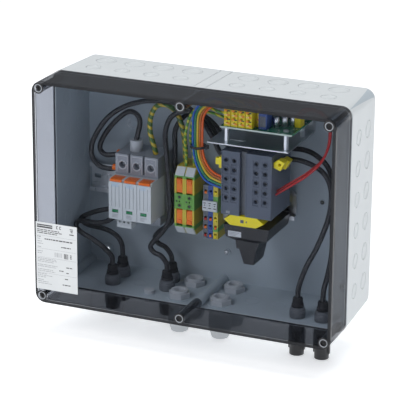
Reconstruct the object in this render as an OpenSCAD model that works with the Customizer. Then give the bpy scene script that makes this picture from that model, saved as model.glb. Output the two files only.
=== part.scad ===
// DC combiner box for solar strings: a grey wall box with a smoked cover over surge protection and a switch.
// Frame: origin at the centre of the back face, +X right, -Y out of the wall, +Z up, millimetres.

/* [Enclosure] */
// Width of the box at its rim
box_w = 360; // [350:1:380]
// Height of the box at its rim
box_h = 264; // [254:1:280]
// Depth of the base, from the wall to the rim
base_d = 84; // [84:1:90]
// Depth of the cover
cover_d = 52; // [52:1:60]
// Wall thickness of the base
base_wall = 3.5; // [3:0.5:4]
// Wall thickness of the cover
cover_wall = 3; // [2.5:0.5:3.5]
// Outer corner radius
corner_r = 12; // [12:1:14]
// How much each side of the base draws in towards the wall
draft = 3; // [2:0.5:4]

/* [Fixings] */
// Horizontal distance between the wall screws
wall_screw_x = 300; // [290:2:310]
// Vertical distance between the wall screws
wall_screw_z = 216; // [210:2:220]
// Radius of the wall screw holes
wall_screw_r = 2.6; // [2.2:0.1:3]
// Radius of the cover screw's thread
cover_screw_r = 2; // [1.8:0.1:2.2]

/* [Rail] */
// Height of the rail's centre line
rail_z = -16; // [-18:1:-14]
// Left end of the rail
rail_x0 = -168; // [-170:1:-160]
// Length of the rail
rail_len = 258; // [250:1:260]

/* [Surge protector] */
// Width of one pole
pole_w = 17.8; // [17.5:0.1:18]
// Left side of the surge protector
spd_x = -114; // [-116:1:-113]
// How far each plug pulls out
plug_travel = 20; // [10:1:24]

/* [Switch] */
// Left side of the contact blocks
switch_x = 28; // [28:1:29]
// Height of the top of the contact blocks
switch_top = 63; // [62:1:64]
// Rows of terminal screws
switch_rows = 5; // [3:1:5]

/* [Fittings] */
// Radius of the cable glands' bores
gland_bore_r = 6.5; // [5:0.5:7]
// How far the fittings reach below the box
fitting_drop = 40; // [36:1:44]

/* [Hidden] */
$fn = 32;
gap = 0.2;                          // clearance between faces that part
cover_back = -(base_d + gap);       // cover's rim plane
cover_front = -(base_d + cover_d);  // cover's front plane
screw_x = box_w / 2 - 8;
screw_z = box_h / 2 - 8;
screw_spots = [[-screw_x, screw_z], [0, screw_z], [screw_x, screw_z],
               [-screw_x, -screw_z], [0, -screw_z], [screw_x, -screw_z]];
tube_r = 6;                         // screw tubes of base and cover
draft_angle = atan(draft / base_d);

rail_back = -8.5;
rail_front = -16;
rail_half = 17.5;
rail_t = 1;
clip_y = rail_front - gap;          // back plane of what clips onto the rail
rail_screw_x = [-146, -52, 14];

spd_w = 3 * pole_w;
spd_top = rail_z + 49;
spd_low = rail_z - 34;
plug_top = rail_z + 24;
plug_low = rail_z - 24;
plug_front = -78;
plug_back = -40;
spd_shoulder = -59;                 // front of the upper shoulder
spd_seat = -52;                     // front of the lower shoulder
signal_x = spd_x + 5;               // left side of the signal plug
signal_w = 18;
signal_low = -54;
signal_top = plug_low - 1.2;

ground_w = 12.3;
ground_x = -42;
ground_front = -54;
shoulder_angle = atan(8 / 10);      // slope of the terminals' shoulders
lever_w = 7;
lever_len = 15;
lever_t = 4;
lever_pin_r = 1;
lever_hub_r = 2;

feed_w = 6.2;
feed_x = -9;
feed_top = 6;
feed_low = -58;
feed_front = -48;

block_w = [22, 7, 31];              // left block, core and right block
block_x = [switch_x, switch_x + block_w[0], switch_x + block_w[0] + block_w[1]];
switch_low = -11.5;
switch_front = -84;
switch_back = -26;
rotor_x = block_x[1] + block_w[1] / 2;
rotor_y = -54;
rotor_r = 5;
chamber_r = 14;
chamber_low = -7;
chamber_top = switch_top - 5;
row_pitch = 11;
row_top = 52;
screw_columns = [switch_x + 5.3, switch_x + 15, switch_x + 41.3, switch_x + 52];
terminal_hole_r = 2.3;
foot_low = -23.4;
motor_low = -51;
motor_top = -37;

bracket_z = 73;
board_z = 93;
board_x = 28;
board_w = 85;
standoff_x = [33, 103];
standoff_y = [-81, -31];

floor_pad_low = -(box_h / 2 + 1);   // outer face of the pads that the fittings sit on
floor_pad_top = -127.5;             // inner face of the same pads
fitting_low = -box_h / 2 - fitting_drop;
inlet_step = 15;                    // how much shorter the four sockets at the left are
glands = [[-30, -66], [-29, -24], [21, -66], [21, -24]];
gland_r = 10;
inlets = [[-118, -60], [-118, -32], [-52, -52], [-57, -26], [116, -68], [146, -68]];
inlet_r = 6;
inlet_top = -115;
boot_top = -104;
vent = [-67, -69];
vent_r = 4;

// Routes of the cables that both ends hold, as round points on their centre lines.
string_r = 3;
wire_r = 1.3;
left_string_routes = [
    [[-118, -60, boot_top], [-119, -60, -94], [-129, -60, -85], [-144, -58, -77.5], [-158, -57, -72],
     [-168, -53, -67], [-168, -47, -62], [-157, -47, -60.5], [-144, -49, -60], [-131, -50, -56],
     [-121, -48.5, -49.5], [spd_x, -46, -45.3]],
    [[-118, -32, boot_top], [-118.5, -32, -91], [-123, -32, -81.5], [-132, -32, -75.5], [-143, -31, -73],
     [-155, -30, -72.5], [-166, -31, -70.5], [-170, -35, -64], [-165, -38, -58], [-156, -38, -53],
     [-144, -38, -48], [-131, -37.5, -44.5], [spd_x, -36, -43]]
];
middle_string_routes = [
    [[-52, -52, boot_top], [-53, -52, -95], [-60, -52, -87], [-69, -51, -84.5], [-74, -50, -78],
     [-67, -50, -68], [-58.5, -50, -57.5], [-51.5, -50, -45], [-49.5, -50, -28], [-50, -51, 0],
     [-53, -52, 40], [-55, -50, 64], [-46, -50, 84], [-24, -50, 92], [-4, -49, 82], [12, -48, 62],
     [switch_x, -47, 56]],
    [[-57, -26, boot_top], [-58.5, -26, -95], [-65, -27, -86], [-74, -28, -81.5], [-78, -28, -75],
     [-72, -28.5, -66.5], [-62, -29, -58], [-54.5, -30, -49], [-51.8, -30, -36], [-52, -30, 0],
     [-52, -30, 40], [-51, -30, 62], [-38, -30, 80], [-18, -30, 82], [0, -30, 70], [12, -30, 54],
     [switch_x, -30, 46]]
];
right_string_routes = [
    [[116, -68, boot_top], [116.5, -67, -92], [124, -66, -68], [136.5, -64, -41], [148, -62, -6],
     [149, -58, 20], [142, -53, 36], [128, -48, 45], [108, -46, 50], [88, -46, 50]],
    [[146, -68, boot_top], [146, -66, -91], [148.5, -62, -75], [150, -56, -56], [149.5, -52, -36],
     [147, -48, 3], [145, -44, 28], [138, -40, 44], [124, -36, 54], [108, -32, 58], [88, -32, 58]]
];
surge_routes = [
    [[spd_x, -48, 12], [-127, -48, 9], [-140, -48, 11], [-148.5, -48.5, 21], [-148.5, -49, 36],
     [-140, -50, 54], [-127, -51, 71.5], [-111.5, -52, 84], [-92, -54, 94], [-68, -58, 101],
     [-34, -60, 102], [-12, -60, 92], [6, -60, 70], [16, -60, 52], [switch_x, -60, 44]],
    [[spd_x, -36, 26], [-125, -37, 23], [-137, -38, 22], [-143.5, -38, 29], [-139.5, -38, 42],
     [-128, -39, 58.5], [-116, -40, 71], [-105, -40, 78.5], [-95, -40, 76], [-91.5, -40, 67],
     [-94, -40, 54], [-96, -40, 46]],
    [[spd_x + 2.5 * pole_w, -44, spd_top], [-72, -45, 44], [-76, -46, 60], [-75, -46, 78],
     [-68, -45, 91], [-56, -43, 93], [-45, -41, 84], [-38, -40, 66], [-36, -38, 46],
     [ground_x + ground_w / 2, -36, 24]]
];
connector_x = [32.2, 40.7, 49.2, 57.7, 66.4];  // left sides of the five wire connectors
control_start = [36, 44.5, 53, 61.5, 68.7];
control_routes = [for (i = [0:4])
    [[control_start[i], -84 + 3 * i, 113], [control_start[i] - 3, -84 + 3 * i, 119],
     [16 + 6 * i, -83 + 3 * i, 121], [2 + 4 * i, -80 + 2.3 * i, 113], [-10 + 3 * i, -73.5 + 0.6 * i, 98],
     [-12 + 2.9 * i, -71.5, 76], [-11 + 2.9 * i, -71.5, 52], [-5 + 2.9 * i, -72, 33 + 1.3 * i],
     [6 + 2.3 * i, -73, 20 + 2.8 * i], [switch_x, -74, 14 + 3.3 * i]]];
red_routes = [for (i = [0:1])
    [[88, -71 + 4 * i, 15 + 3 * i], [106, -69 + 4 * i, 28 + 3 * i], [122, -66 + 4 * i, 40 + 3 * i],
     [137, -62 + 4 * i, 56 + 2 * i], [145 - 2 * i, -59 + 4 * i, 76], [146 - 3 * i, -58 + 4 * i, 97],
     [139 - 2 * i, -57 + 4 * i, 110 - 3 * i], [126, -57 + 3.5 * i, 115 - 3.3 * i],
     [113 + 2 * i, -57 + 3 * i, 113 - 2.5 * i], [107 + 3.3 * i, -57 + 3 * i, 103]]];
ground_routes = [
    [[ground_x + 1.5 * ground_w, -40, 24], [-24, -42, 40], [-22, -54, 56], [-18, -64, 72], [-14, -66, 88],
     [-6, -66, 97], [8, -67, 99], [20, -71, 98], [connector_x[0], -73.5, 97]],
    [[ground_x + ground_w / 2 + 3.8, -44, 24], [-31, -46, 38], [-27, -58, 54], [-23, -66, 72],
     [-18, -67, 90], [-9, -66, 102], [6, -66.5, 104], [18, -71, 103], [connector_x[0], -73.5, 103]]
];

// ---------- helpers ----------

module rounded_rect(w, h, r) {
    square([w - 2 * r, h], center = true);
    square([w, h - 2 * r], center = true);
    for (x = [-1, 1], y = [-1, 1])
        translate([x * (w / 2 - r), y * (h / 2 - r)]) circle(r);
}

// Extrudes an x-z outline from the plane y = from by depth towards the viewer (-Y).
module out_from(from, depth) {
    translate([0, from, 0]) rotate([90, 0, 0]) linear_extrude(depth) children();
}

// Extrudes a y-z outline along +X from x.
module along_x(x, length) {
    translate([x, 0, 0]) rotate([90, 0, 90]) linear_extrude(length) children();
}

// Box between two corners.
module span(low, high) {
    translate(low) cube(high - low);
}

// Upright cylinder at [x, y] between two heights.
module post(spot, r, low, high) {
    translate([spot[0], spot[1], low]) cylinder(r = r, h = high - low);
}

// Cylinder along -Y, at x and z, from the plane y = from.
module bar_out(x, z, r, from, depth) {
    translate([x, from, z]) rotate([90, 0, 0]) cylinder(r = r, h = depth);
}

function unit(v) = v / norm(v);

// Points on a smooth curve through the route.
function curve_point(p, i, t) =
    let (n = len(p), a = p[max(i - 1, 0)], b = p[i], c = p[i + 1], d = p[min(i + 2, n - 1)])
    0.5 * (2 * b + (c - a) * t + (2 * a - 5 * b + 4 * c - d) * t * t + (3 * b - a - 3 * c + d) * t * t * t);

function curve(p, steps) = concat(
    [for (i = [0:len(p) - 2], s = [0:steps - 1]) curve_point(p, i, s / steps)], [p[len(p) - 1]]);

// The axis that a direction lies closest to, so that a cable's ends lie flat on the faces they meet.
function nearest_axis(v) = let (m = max([for (c = v) abs(c)])) [for (c = v) abs(c) == m ? sign(c) : 0];

function tangent(p, i) =
    let (t = unit(p[min(i + 1, len(p) - 1)] - p[max(i - 1, 0)]))
    i == 0 || i == len(p) - 1 ? nearest_axis(t) : t;

// Side vectors carried along the curve, so that the tube doesn't twist.
function carried(p, i, side) =
    let (t = tangent(p, i), s = unit(side - t * (side * t)))
    i == len(p) - 1 ? [s] : concat([s], carried(p, i + 1, s));

module tube_along(route, r, steps, sides) {
    p = curve(route, steps);
    n = len(p);
    side = carried(p, 0, abs(tangent(p, 0)[1]) > 0.7 ? [1, 0, 0] : [0, 1, 0]);
    ring = [for (i = [0:n - 1], k = [0:sides - 1])
        let (t = tangent(p, i), a = 360 * k / sides)
        p[i] + r * (cos(a) * side[i] + sin(a) * cross(t, side[i]))];
    walls = [for (i = [0:n - 2], k = [0:sides - 1])
        let (j = (k + 1) % sides)
        [i * sides + k, i * sides + j, (i + 1) * sides + j, (i + 1) * sides + k]];
    first = [for (k = [sides - 1:-1:0]) k];
    last = [for (k = [0:sides - 1]) (n - 1) * sides + k];
    polyhedron(ring, concat([first], walls, [last]), 4);
}

// ---------- enclosure ----------

module base_hull(inset, back) {
    hull() {
        out_from(-base_d + 0.01, 0.01) rounded_rect(box_w - 2 * inset, box_h - 2 * inset, corner_r - inset);
        out_from(back + 0.01, 0.01)
            rounded_rect(box_w - 2 * inset - 2 * draft, box_h - 2 * inset - 2 * draft, corner_r - inset);
    }
}

// One knock-out mark: a shallow ring cut, centred on the local origin, facing +Z.
module knockout(r) {
    translate([0, 0, -0.7]) difference() {
        cylinder(r = r, h = 4);
        translate([0, 0, -1]) cylinder(r = r - 0.9, h = 6);
    }
}

// Knock-outs in two rows on a wall that faces +Z, spread along X.
module knockout_rows(spots) {
    for (s = spots) translate([s[0], s[1], 0]) knockout(s[2]);
}

module top_knockouts() {
    spots = [for (side = [-1, 1], k = [0:3]) each [[side * (34 + 36 * k), 22, 12], [side * (34 + 36 * k), 56, 9]]];
    translate([0, 0, box_h / 2 - draft]) rotate([-draft_angle, 0, 0]) mirror([0, 1, 0]) knockout_rows(spots);
}

module side_knockouts() {
    spots = [for (k = [0:5]) each [[-90 + 36 * k, 24, 10], [-90 + 36 * k, 58, 9]]];
    translate([box_w / 2 - draft, 0, 0]) rotate([0, 0, draft_angle])
        rotate([0, 90, 0]) mirror([0, 1, 0]) knockout_rows(spots);
}

// Narrow grooves beside the middle screw tube, along the depth of the top and bottom.
module mid_grooves() {
    for (x = [-7, 7], z = [-1, 1])
        translate([x, 0, z * (box_h / 2 - draft)]) rotate([-z * draft_angle, 0, 0])
            translate([-0.5, -base_d - 2, -0.6]) cube([1, base_d + 4, 1.2]);
}

module base_posts() {
    for (s = screw_spots) bar_out(s[0], s[1], tube_r, 0, base_d);
    for (x = [-1, 1], z = [-1, 1]) bar_out(x * wall_screw_x / 2, z * wall_screw_z / 2, 7, 0, 10);
    for (x = rail_screw_x) bar_out(x, rail_z, 6, 0, -rail_back);
    for (x = standoff_x) bar_out(x, bracket_z + 10, 5, 0, 5);
}

module floor_pads() {
    for (s = glands) post(s, 15, floor_pad_low, floor_pad_top);
    for (s = inlets) post(s, 10.5, floor_pad_low, floor_pad_top);
    post(vent, 8, floor_pad_low, floor_pad_top);
}

// Holes in the floor, each with a flat seat for the nut above it.
module floor_holes() {
    for (s = glands) {
        post(s, gland_r + 0.05, floor_pad_low - 9, floor_pad_top + 9);
        post(s, 14.5, floor_pad_top, floor_pad_top + 4);
    }
    for (s = inlets) {
        post(s, inlet_r + 0.05, floor_pad_low - 9, floor_pad_top + 9);
        post(s, 10, floor_pad_top, floor_pad_top + 4);
    }
    post(vent, vent_r + 0.05, floor_pad_low - 9, floor_pad_top + 9);
    post(vent, 7, floor_pad_top, floor_pad_top + 4);
}

// Light-grey base with its screw posts, rail bosses, pads, knock-outs and seal groove.
module base_shell() {
    groove_w = 1.6;
    color("gainsboro") difference() {
        union() {
            intersection() {
                base_hull(0, 0);
                union() {
                    difference() {
                        translate([-box_w, -base_d - 1, -box_h]) cube([2 * box_w, base_d + 2, 2 * box_h]);
                        base_hull(base_wall, -base_wall);
                    }
                    base_posts();
                }
            }
            floor_pads();
        }
        floor_holes();
        for (s = screw_spots) bar_out(s[0], s[1], cover_screw_r + 0.05, -base_d + 22, 30);
        for (x = [-1, 1], z = [-1, 1]) {
            bar_out(x * wall_screw_x / 2, z * wall_screw_z / 2, wall_screw_r, 1, 20);
            bar_out(x * wall_screw_x / 2, z * wall_screw_z / 2, 5, -6, 20);
        }
        for (x = rail_screw_x) bar_out(x, rail_z, 2.05, -2.5, 20);
        for (x = standoff_x) bar_out(x, bracket_z + 10, 1.55, -1.5, 20);
        top_knockouts();
        side_knockouts();
        mirror([1, 0, 0]) side_knockouts();
        mid_grooves();
        out_from(-base_d + 1, 3) difference() {
            rounded_rect(box_w - 2, box_h - 2, corner_r - 1);
            rounded_rect(box_w - 2 - 2 * groove_w, box_h - 2 - 2 * groove_w, corner_r - 1 - groove_w);
        }
    }
}

// Dark seal that fills the groove and stands up to the cover.
module cover_gasket() {
    seal_w = 1.4;
    color("black") out_from(-base_d + 1, 1.1) difference() {
        rounded_rect(box_w - 2.2, box_h - 2.2, corner_r - 1.1);
        rounded_rect(box_w - 2.2 - 2 * seal_w, box_h - 2.2 - 2 * seal_w, corner_r - 1.1 - seal_w);
    }
}

// Smoked transparent cover with its six screw tubes.
module cover() {
    depth = cover_d - gap;
    inner_w = box_w - 2 * cover_wall;
    inner_h = box_h - 2 * cover_wall;
    color([0.25, 0.27, 0.3, 0.4]) difference() {
        union() {
            difference() {
                out_from(cover_back, depth) rounded_rect(box_w, box_h, corner_r);
                out_from(cover_back + 1, depth + 1 - cover_wall)
                    rounded_rect(inner_w, inner_h, corner_r - cover_wall);
            }
            for (s = screw_spots) bar_out(s[0], s[1], tube_r, cover_back, depth);
        }
        for (s = screw_spots) {
            bar_out(s[0], s[1], cover_screw_r + 0.6, cover_back + 1, depth + 2);
            bar_out(s[0], s[1], 4, cover_front + 6, 8);
        }
    }
}

// Captive quick-turn screw at one of the six spots.
module cover_screw(index) {
    s = screw_spots[index];
    head_back = cover_front + 5.8;
    color("dimgray") difference() {
        union() {
            bar_out(s[0], s[1], 3.6, head_back, 3.6);
            bar_out(s[0], s[1], cover_screw_r, -base_d + 18, head_back * -1 - base_d + 18);
        }
        translate([s[0], cover_front + 2.2, s[1]]) for (a = [0, 90])
            rotate([0, a, 0]) translate([-2.6, -1, -0.4]) cube([5.2, 2.2, 0.8]);
    }
}

module type_label() {
    color("white") span([-178, cover_front - 0.2, -115.5], [-126, cover_front, -34]);
}

// ---------- rail and terminals ----------

module din_rail() {
    back = rail_back;
    front = rail_front;
    web = 13.5;
    color("silver") difference() {
        along_x(rail_x0, rail_len) translate([0, rail_z]) {
            translate([back - rail_t, -web]) square([rail_t, 2 * web]);
            for (m = [0, 1]) mirror([0, m]) {
                translate([front, web - rail_t]) square([back - front, rail_t]);
                translate([front, web - rail_t]) square([rail_t, rail_half - web + rail_t]);
            }
        }
        for (x = rail_screw_x) bar_out(x, rail_z, 2.6, back + 1, 4);
        for (x = [rail_x0 + 8:15:rail_x0 + rail_len - 8])
            if (min([for (s = rail_screw_x) abs(x - s)]) > 12)
                translate([x, back + 1, rail_z]) rotate([90, 0, 0]) linear_extrude(4)
                    square([8, 5], center = true);
    }
}

module rail_screws() {
    head_back = rail_back - rail_t;
    color("silver") for (x = rail_screw_x) difference() {
        union() {
            bar_out(x, rail_z, 4, head_back, 2.4);
            bar_out(x, rail_z, 2, -3.5, -3.5 - head_back + 0.2);
        }
        translate([x, head_back - 1.2, rail_z]) for (a = [45, 135])
            rotate([0, a, 0]) translate([-2.2, -2, -0.4]) cube([4.4, 2, 0.8]);
    }
}

// Outline of a piece that clips over the rail: from its low to its high z, out to front.
module clip_outline(low, high, front) {
    polygon([[clip_y, low], [front, low], [front, high], [clip_y, high],
             [clip_y, rail_z + rail_half + 3], [clip_y + 5, rail_z + rail_half + 3],
             [clip_y + 5, rail_z + rail_half + 0.4], [clip_y, rail_z + rail_half + 0.4],
             [clip_y, rail_z - rail_half - 0.4], [clip_y + 5, rail_z - rail_half - 0.4],
             [clip_y + 5, rail_z - rail_half - 3], [clip_y, rail_z - rail_half - 3]]);
}

module end_clamps() {
    color("lightgray") for (x = [spd_x - 8.3, spd_x + spd_w + 0.1, 10]) {
        w = x > 0 ? 6 : (x > spd_x ? 5 : 8);
        difference() {
            along_x(x, w) clip_outline(rail_z - 22, rail_z + 22, -34);
            bar_out(x + w / 2, rail_z + 12, 1.8, -28, 9);
        }
    }
}

// Three-pole socket: a terminal shoulder above and a slim shoulder below a pocket for the plugs.
module spd_base() {
    pocket_back = plug_back + 0.3;
    color("gray") difference() {
        along_x(spd_x, spd_w) union() {
            clip_outline(spd_low, spd_top, pocket_back);
            translate([spd_shoulder, plug_top + 0.3])
                square([pocket_back - spd_shoulder + 1, spd_top - plug_top - 0.3]);
            translate([spd_seat, spd_low])
                square([pocket_back - spd_seat + 1, plug_low - 0.3 - spd_low]);
        }
        for (k = [0:2]) {
            x = spd_x + (k + 0.5) * pole_w;
            bar_out(x, spd_top - 13, 4, spd_shoulder + 12, 14);
            span([x - 1.2, plug_back - 1, rail_z - 14], [x + 1.2, plug_back + 9, rail_z - 6]);
            span([x - 1.2, plug_back - 1, rail_z + 6], [x + 1.2, plug_back + 9, rail_z + 14]);
        }
        for (k = [1, 2]) {
            span([spd_x + k * pole_w - 1.2, spd_shoulder - 1, plug_top + 3],
                 [spd_x + k * pole_w + 1.2, spd_shoulder + 6, spd_top + 1]);
            span([spd_x + k * pole_w - 0.5, spd_seat - 1, spd_low - 1],
                 [spd_x + k * pole_w + 0.5, spd_seat + 2, plug_low - 2]);
        }
        span([signal_x + 0.8, spd_seat - 1, spd_low + 1.8],
             [signal_x + signal_w - 0.8, spd_seat + 8, signal_top - 0.6]);
    }
}

// One protection plug with its blade contacts, window and ribbed front.
module spd_plug(index) {
    w = pole_w - 0.4;
    x = spd_x + index * pole_w + 0.2;
    mid = x + w / 2;
    color("whitesmoke") difference() {
        union() {
            span([x, plug_front, plug_low], [x + w, plug_back, plug_top]);
            for (z = [-10, 10])
                span([mid - 0.9, plug_back - 0.1, rail_z + z - 3], [mid + 0.9, plug_back + 8, rail_z + z + 3]);
        }
        span([x + 4, plug_front - 1, plug_low + 8], [x + 12, plug_front + 0.8, plug_low + 12]);
        span([x - 1, plug_front - 1, plug_top - 3], [x + w + 1, plug_front + 2.5, plug_top + 1]);
        for (k = [0:2]) span([x + 3.4 + 4.8 * k, plug_front - 1, plug_low + 15],
                             [x + 4.2 + 4.8 * k, plug_front + 0.8, plug_top - 7]);
        span([x - 1, plug_front + 12, plug_low - 1], [x + 0.3, plug_front + 30, plug_low + 6]);
        span([x + w - 0.3, plug_front + 12, plug_low - 1], [x + w + 1, plug_front + 30, plug_low + 6]);
    }
}

// White remote-signal plug whose nose sits in the lower shoulder.
module spd_signal_plug() {
    color("white") difference() {
        union() {
            span([signal_x, spd_seat - 14, signal_low], [signal_x + signal_w, spd_seat - 0.2, signal_top]);
            span([signal_x + 1, spd_seat - 1, spd_low + 2],
                 [signal_x + signal_w - 1, spd_seat + 7.8, signal_top - 0.8]);
        }
        for (k = [0:2]) bar_out(signal_x + 3.5 + 5.5 * k, signal_low + 7, 1.4, spd_seat - 8, 8);
    }
}

module spd_terminal_screws() {
    color("silver") for (k = [0:2]) {
        x = spd_x + (k + 0.5) * pole_w;
        z = spd_top - 13;
        difference() {
            bar_out(x, z, 3.7, spd_shoulder + 12, 4);
            span([x - 3, spd_shoulder + 6.9, z - 0.5], [x + 3, spd_shoulder + 9.5, z + 0.5]);
        }
    }
}

// Grey bush where a conductor enters the top of the socket.
module spd_entry_bush() {
    color("darkgray") post([-96, -40], 7.5, spd_top, spd_top + 13);
}

// Side outline of a power terminal with sloped shoulders.
module ground_outline() {
    top = rail_z + 40;
    low = rail_z - 40;
    polygon([[clip_y, low], [-46, low], [ground_front, low + 10], [ground_front, top - 10], [-46, top],
             [clip_y, top], [clip_y, rail_z + rail_half + 3], [clip_y + 5, rail_z + rail_half + 3],
             [clip_y + 5, rail_z + rail_half + 0.4], [clip_y, rail_z + rail_half + 0.4],
             [clip_y, rail_z - rail_half - 0.4], [clip_y + 5, rail_z - rail_half - 0.4],
             [clip_y + 5, rail_z - rail_half - 3], [clip_y, rail_z - rail_half - 3]]);
}

function lever_x(index) = ground_x + (index % 2 + 0.5) * ground_w;
function lever_up(index) = index < 2 ? 1 : -1;
// Height of a lever's pin: the levers lie away from the middle of the terminal.
function lever_z(index) = rail_z + lever_up(index) * 12;
lever_y = ground_front + 2.5;

module ground_terminals() {
    color("yellowgreen") for (k = [0, 1]) difference() {
        along_x(ground_x + k * ground_w + 0.05, ground_w - 0.1) ground_outline();
        for (i = [k, k + 2]) {
            z = lever_z(i);
            s = lever_up(i);
            reach = s * (lever_len + 2.5);
            translate([lever_x(i) - lever_w / 2 - 0.35, 0, 0])
                span([0, ground_front - 1, min(z - s * 3.2, z + reach)],
                     [lever_w + 0.7, ground_front + 6, max(z - s * 3.2, z + reach)]);
            translate([lever_x(i) - lever_w / 2 - 1.4, lever_y, z])
                rotate([0, 90, 0]) cylinder(r = lever_pin_r + 0.05, h = lever_w + 2.8);
            bar_out(lever_x(i), rail_z + s * 5, 1.9, ground_front + 9, 12);
        }
        bar_out(lever_x(k), rail_z, 1.2, ground_front + 9, 12);
    }
}

// Orange clamping lever on its own pin; it swings out of the terminal's face.
module ground_lever(index) {
    s = lever_up(index);
    z = lever_z(index);
    x = lever_x(index) - lever_w / 2;
    color("darkorange") union() {
        translate([x, lever_y, z]) rotate([0, 90, 0]) cylinder(r = lever_hub_r, h = lever_w);
        translate([x - 1.2, lever_y, z]) rotate([0, 90, 0]) cylinder(r = lever_pin_r, h = lever_w + 2.4);
        span([x, lever_y - 2, min(z, z + s * lever_len)],
             [x + lever_w, lever_y - 2 + lever_t, max(z, z + s * lever_len)]);
        span([x + 1, lever_y - 3.2, min(z + s * 10, z + s * 14)],
             [x + lever_w - 1, lever_y - 1.9, max(z + s * 10, z + s * 14)]);
    }
}

// White marker strips on the terminals and one on the left end clamp.
module terminal_markers() {
    color("white") {
        for (k = [0, 1], s = [-1, 1]) {
            x = ground_x + k * ground_w + 0.8;
            translate([x, -50, rail_z + s * 35]) rotate([s * -shoulder_angle, 0, 0])
                translate([0, -1.2, -5.5]) cube([ground_w - 1.6, 1.2, 11]);
        }
        span([feed_x + 0.4, feed_front - 3, -24], [feed_x + 3 * feed_w - 0.4, feed_front, -12]);
        span([10.4, -37, rail_z - 12], [15.6, -34, rail_z - 4]);
    }
}

// One slim feed-through terminal, the index-th from the left.
module feed_terminal(index) {
    x = feed_x + index * feed_w + 0.05;
    w = feed_w - 0.1;
    difference() {
        along_x(x, w) clip_outline(feed_low, feed_top, feed_front);
        for (z = [-2, -34, -44, -54])
            span([x + 1.5, feed_front - 1, z - 2.5], [x + w - 1.5, feed_front + 5, z + 2.5]);
    }
}

module grey_terminal() {
    color("gray") feed_terminal(0);
}

module blue_terminal() {
    color("royalblue") feed_terminal(1);
}

module earth_terminal() {
    color("yellowgreen") feed_terminal(2);
}

// ---------- switch ----------

module chamber() {
    post([rotor_x, rotor_y], chamber_r, chamber_low, chamber_top);
    post([rotor_x, rotor_y], rotor_r + 0.05, switch_low - 1, switch_top + 1);
}

// Dark contact block with its columns of terminal screw holes.
module contact_block(x, w, columns) {
    difference() {
        span([x, switch_front, switch_low], [x + w, switch_back, switch_top]);
        chamber();
        for (c = columns, r = [0:switch_rows - 1]) {
            bar_out(c, row_top - row_pitch * r, terminal_hole_r, switch_front + 10, 12);
            span([c - 3.6, switch_front - 1, row_top - row_pitch * r - 4.3],
                 [c + 3.6, switch_front + 0.7, row_top - row_pitch * r + 4.3]);
        }
    }
}

module contact_block_left() {
    color([0.27, 0.29, 0.34]) contact_block(block_x[0], block_w[0], [screw_columns[0], screw_columns[1]]);
}

module contact_block_right() {
    color([0.27, 0.29, 0.34]) contact_block(block_x[2], block_w[2], [screw_columns[2], screw_columns[3]]);
}

module switch_core() {
    color([0.2, 0.21, 0.25]) difference() {
        span([block_x[1], switch_front + 5, switch_low], [block_x[2], switch_back, switch_top]);
        chamber();
    }
}

// Yellow clips that hold the blocks together at both sides.
module switch_clips() {
    right = block_x[2] + block_w[2];
    color("gold") {
        span([switch_x - 3, switch_front, 42], [switch_x, -66, 55]);
        span([switch_x - 8, switch_front + 2, 45], [switch_x - 3, switch_front + 6, 53]);
        for (s = [[-74, 50], [-58, 47]]) difference() {
            out_from(s[0] + 5, 10) polygon([[right, s[1] - 1], [right, s[1] + 5], [right + 6, s[1] + 9],
                                            [right + 13, s[1] + 6], [right + 8, s[1] - 4]]);
            bar_out(right + 7, s[1] + 3, 1.6, s[0] + 6, 12);
        }
    }
}

// Yellow foot with chamfered ends under the contact blocks.
module switch_foot() {
    right = block_x[2] + block_w[2];
    middle = (foot_low + switch_low) / 2;
    color("gold") difference() {
        out_from(switch_back, switch_back - switch_front) polygon([
            [switch_x + 3.5, middle], [switch_x + 11.5, switch_low], [right - 17, switch_low],
            [right - 8.5, middle], [right - 18, foot_low], [switch_x + 11, foot_low]]);
        post([rotor_x, rotor_y], rotor_r + 0.3, foot_low - 1, switch_low + 1);
    }
}

module contact_screws() {
    color("darkgoldenrod") for (c = screw_columns, r = [0:switch_rows - 1]) {
        z = row_top - row_pitch * r;
        difference() {
            bar_out(c, z, 2, switch_front + 10, 4);
            span([c - 2.2, switch_front + 5, z - 0.3], [c + 2.2, switch_front + 7, z + 0.3]);
        }
    }
}

function bridge_z(row) = row_top - row_pitch * row - 4;

// Upright switch shaft with slots for the moving contacts and a flatted tail.
module switch_rotor() {
    color("ivory") difference() {
        post([rotor_x, rotor_y], rotor_r, -33, switch_top);
        for (r = [0:switch_rows - 1])
            translate([rotor_x - rotor_r - 1, rotor_y - 2, bridge_z(r)]) cube([2 * rotor_r + 2, 4, 3]);
    }
}

module contact_bridges() {
    color("darkgoldenrod") for (r = [0:switch_rows - 1])
        translate([rotor_x - 12, rotor_y - 2, bridge_z(r)]) cube([24, 4, 3]);
}

// Slab of the drive housing: an x-y rectangle at a height.
module drive_slab(low, high, z) {
    span([low[0], low[1], z], [high[0], high[1], z + 0.1]);
}

// Black housing of the switch drive, drawn in towards its lower end and open at its top.
module drive_housing() {
    right = block_x[2] + block_w[2];
    color([0.1, 0.1, 0.11]) difference() {
        union() {
            hull() {
                drive_slab([switch_x + 3, switch_front], [right - 2, clip_y], foot_low - 0.1);
                drive_slab([switch_x + 6, switch_front + 1], [right - 5, clip_y], -38);
            }
            hull() {
                drive_slab([switch_x + 6, switch_front + 1], [right - 5, clip_y], -38);
                drive_slab([43.5, -78], [72, -24], -43);
            }
            hull() {
                drive_slab([43.5, -78], [72, -24], -43);
                drive_slab([44.5, -77], [68, -34], -53);
            }
            hull() {
                drive_slab([46.5, -75], [67, -40], -53);
                drive_slab([52, -73], [64, -43], -72);
            }
        }
        span([rotor_x - 7, rotor_y - 9, motor_low], [rotor_x + 9, rotor_y + 9, foot_low + 1]);
    }
}

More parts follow.
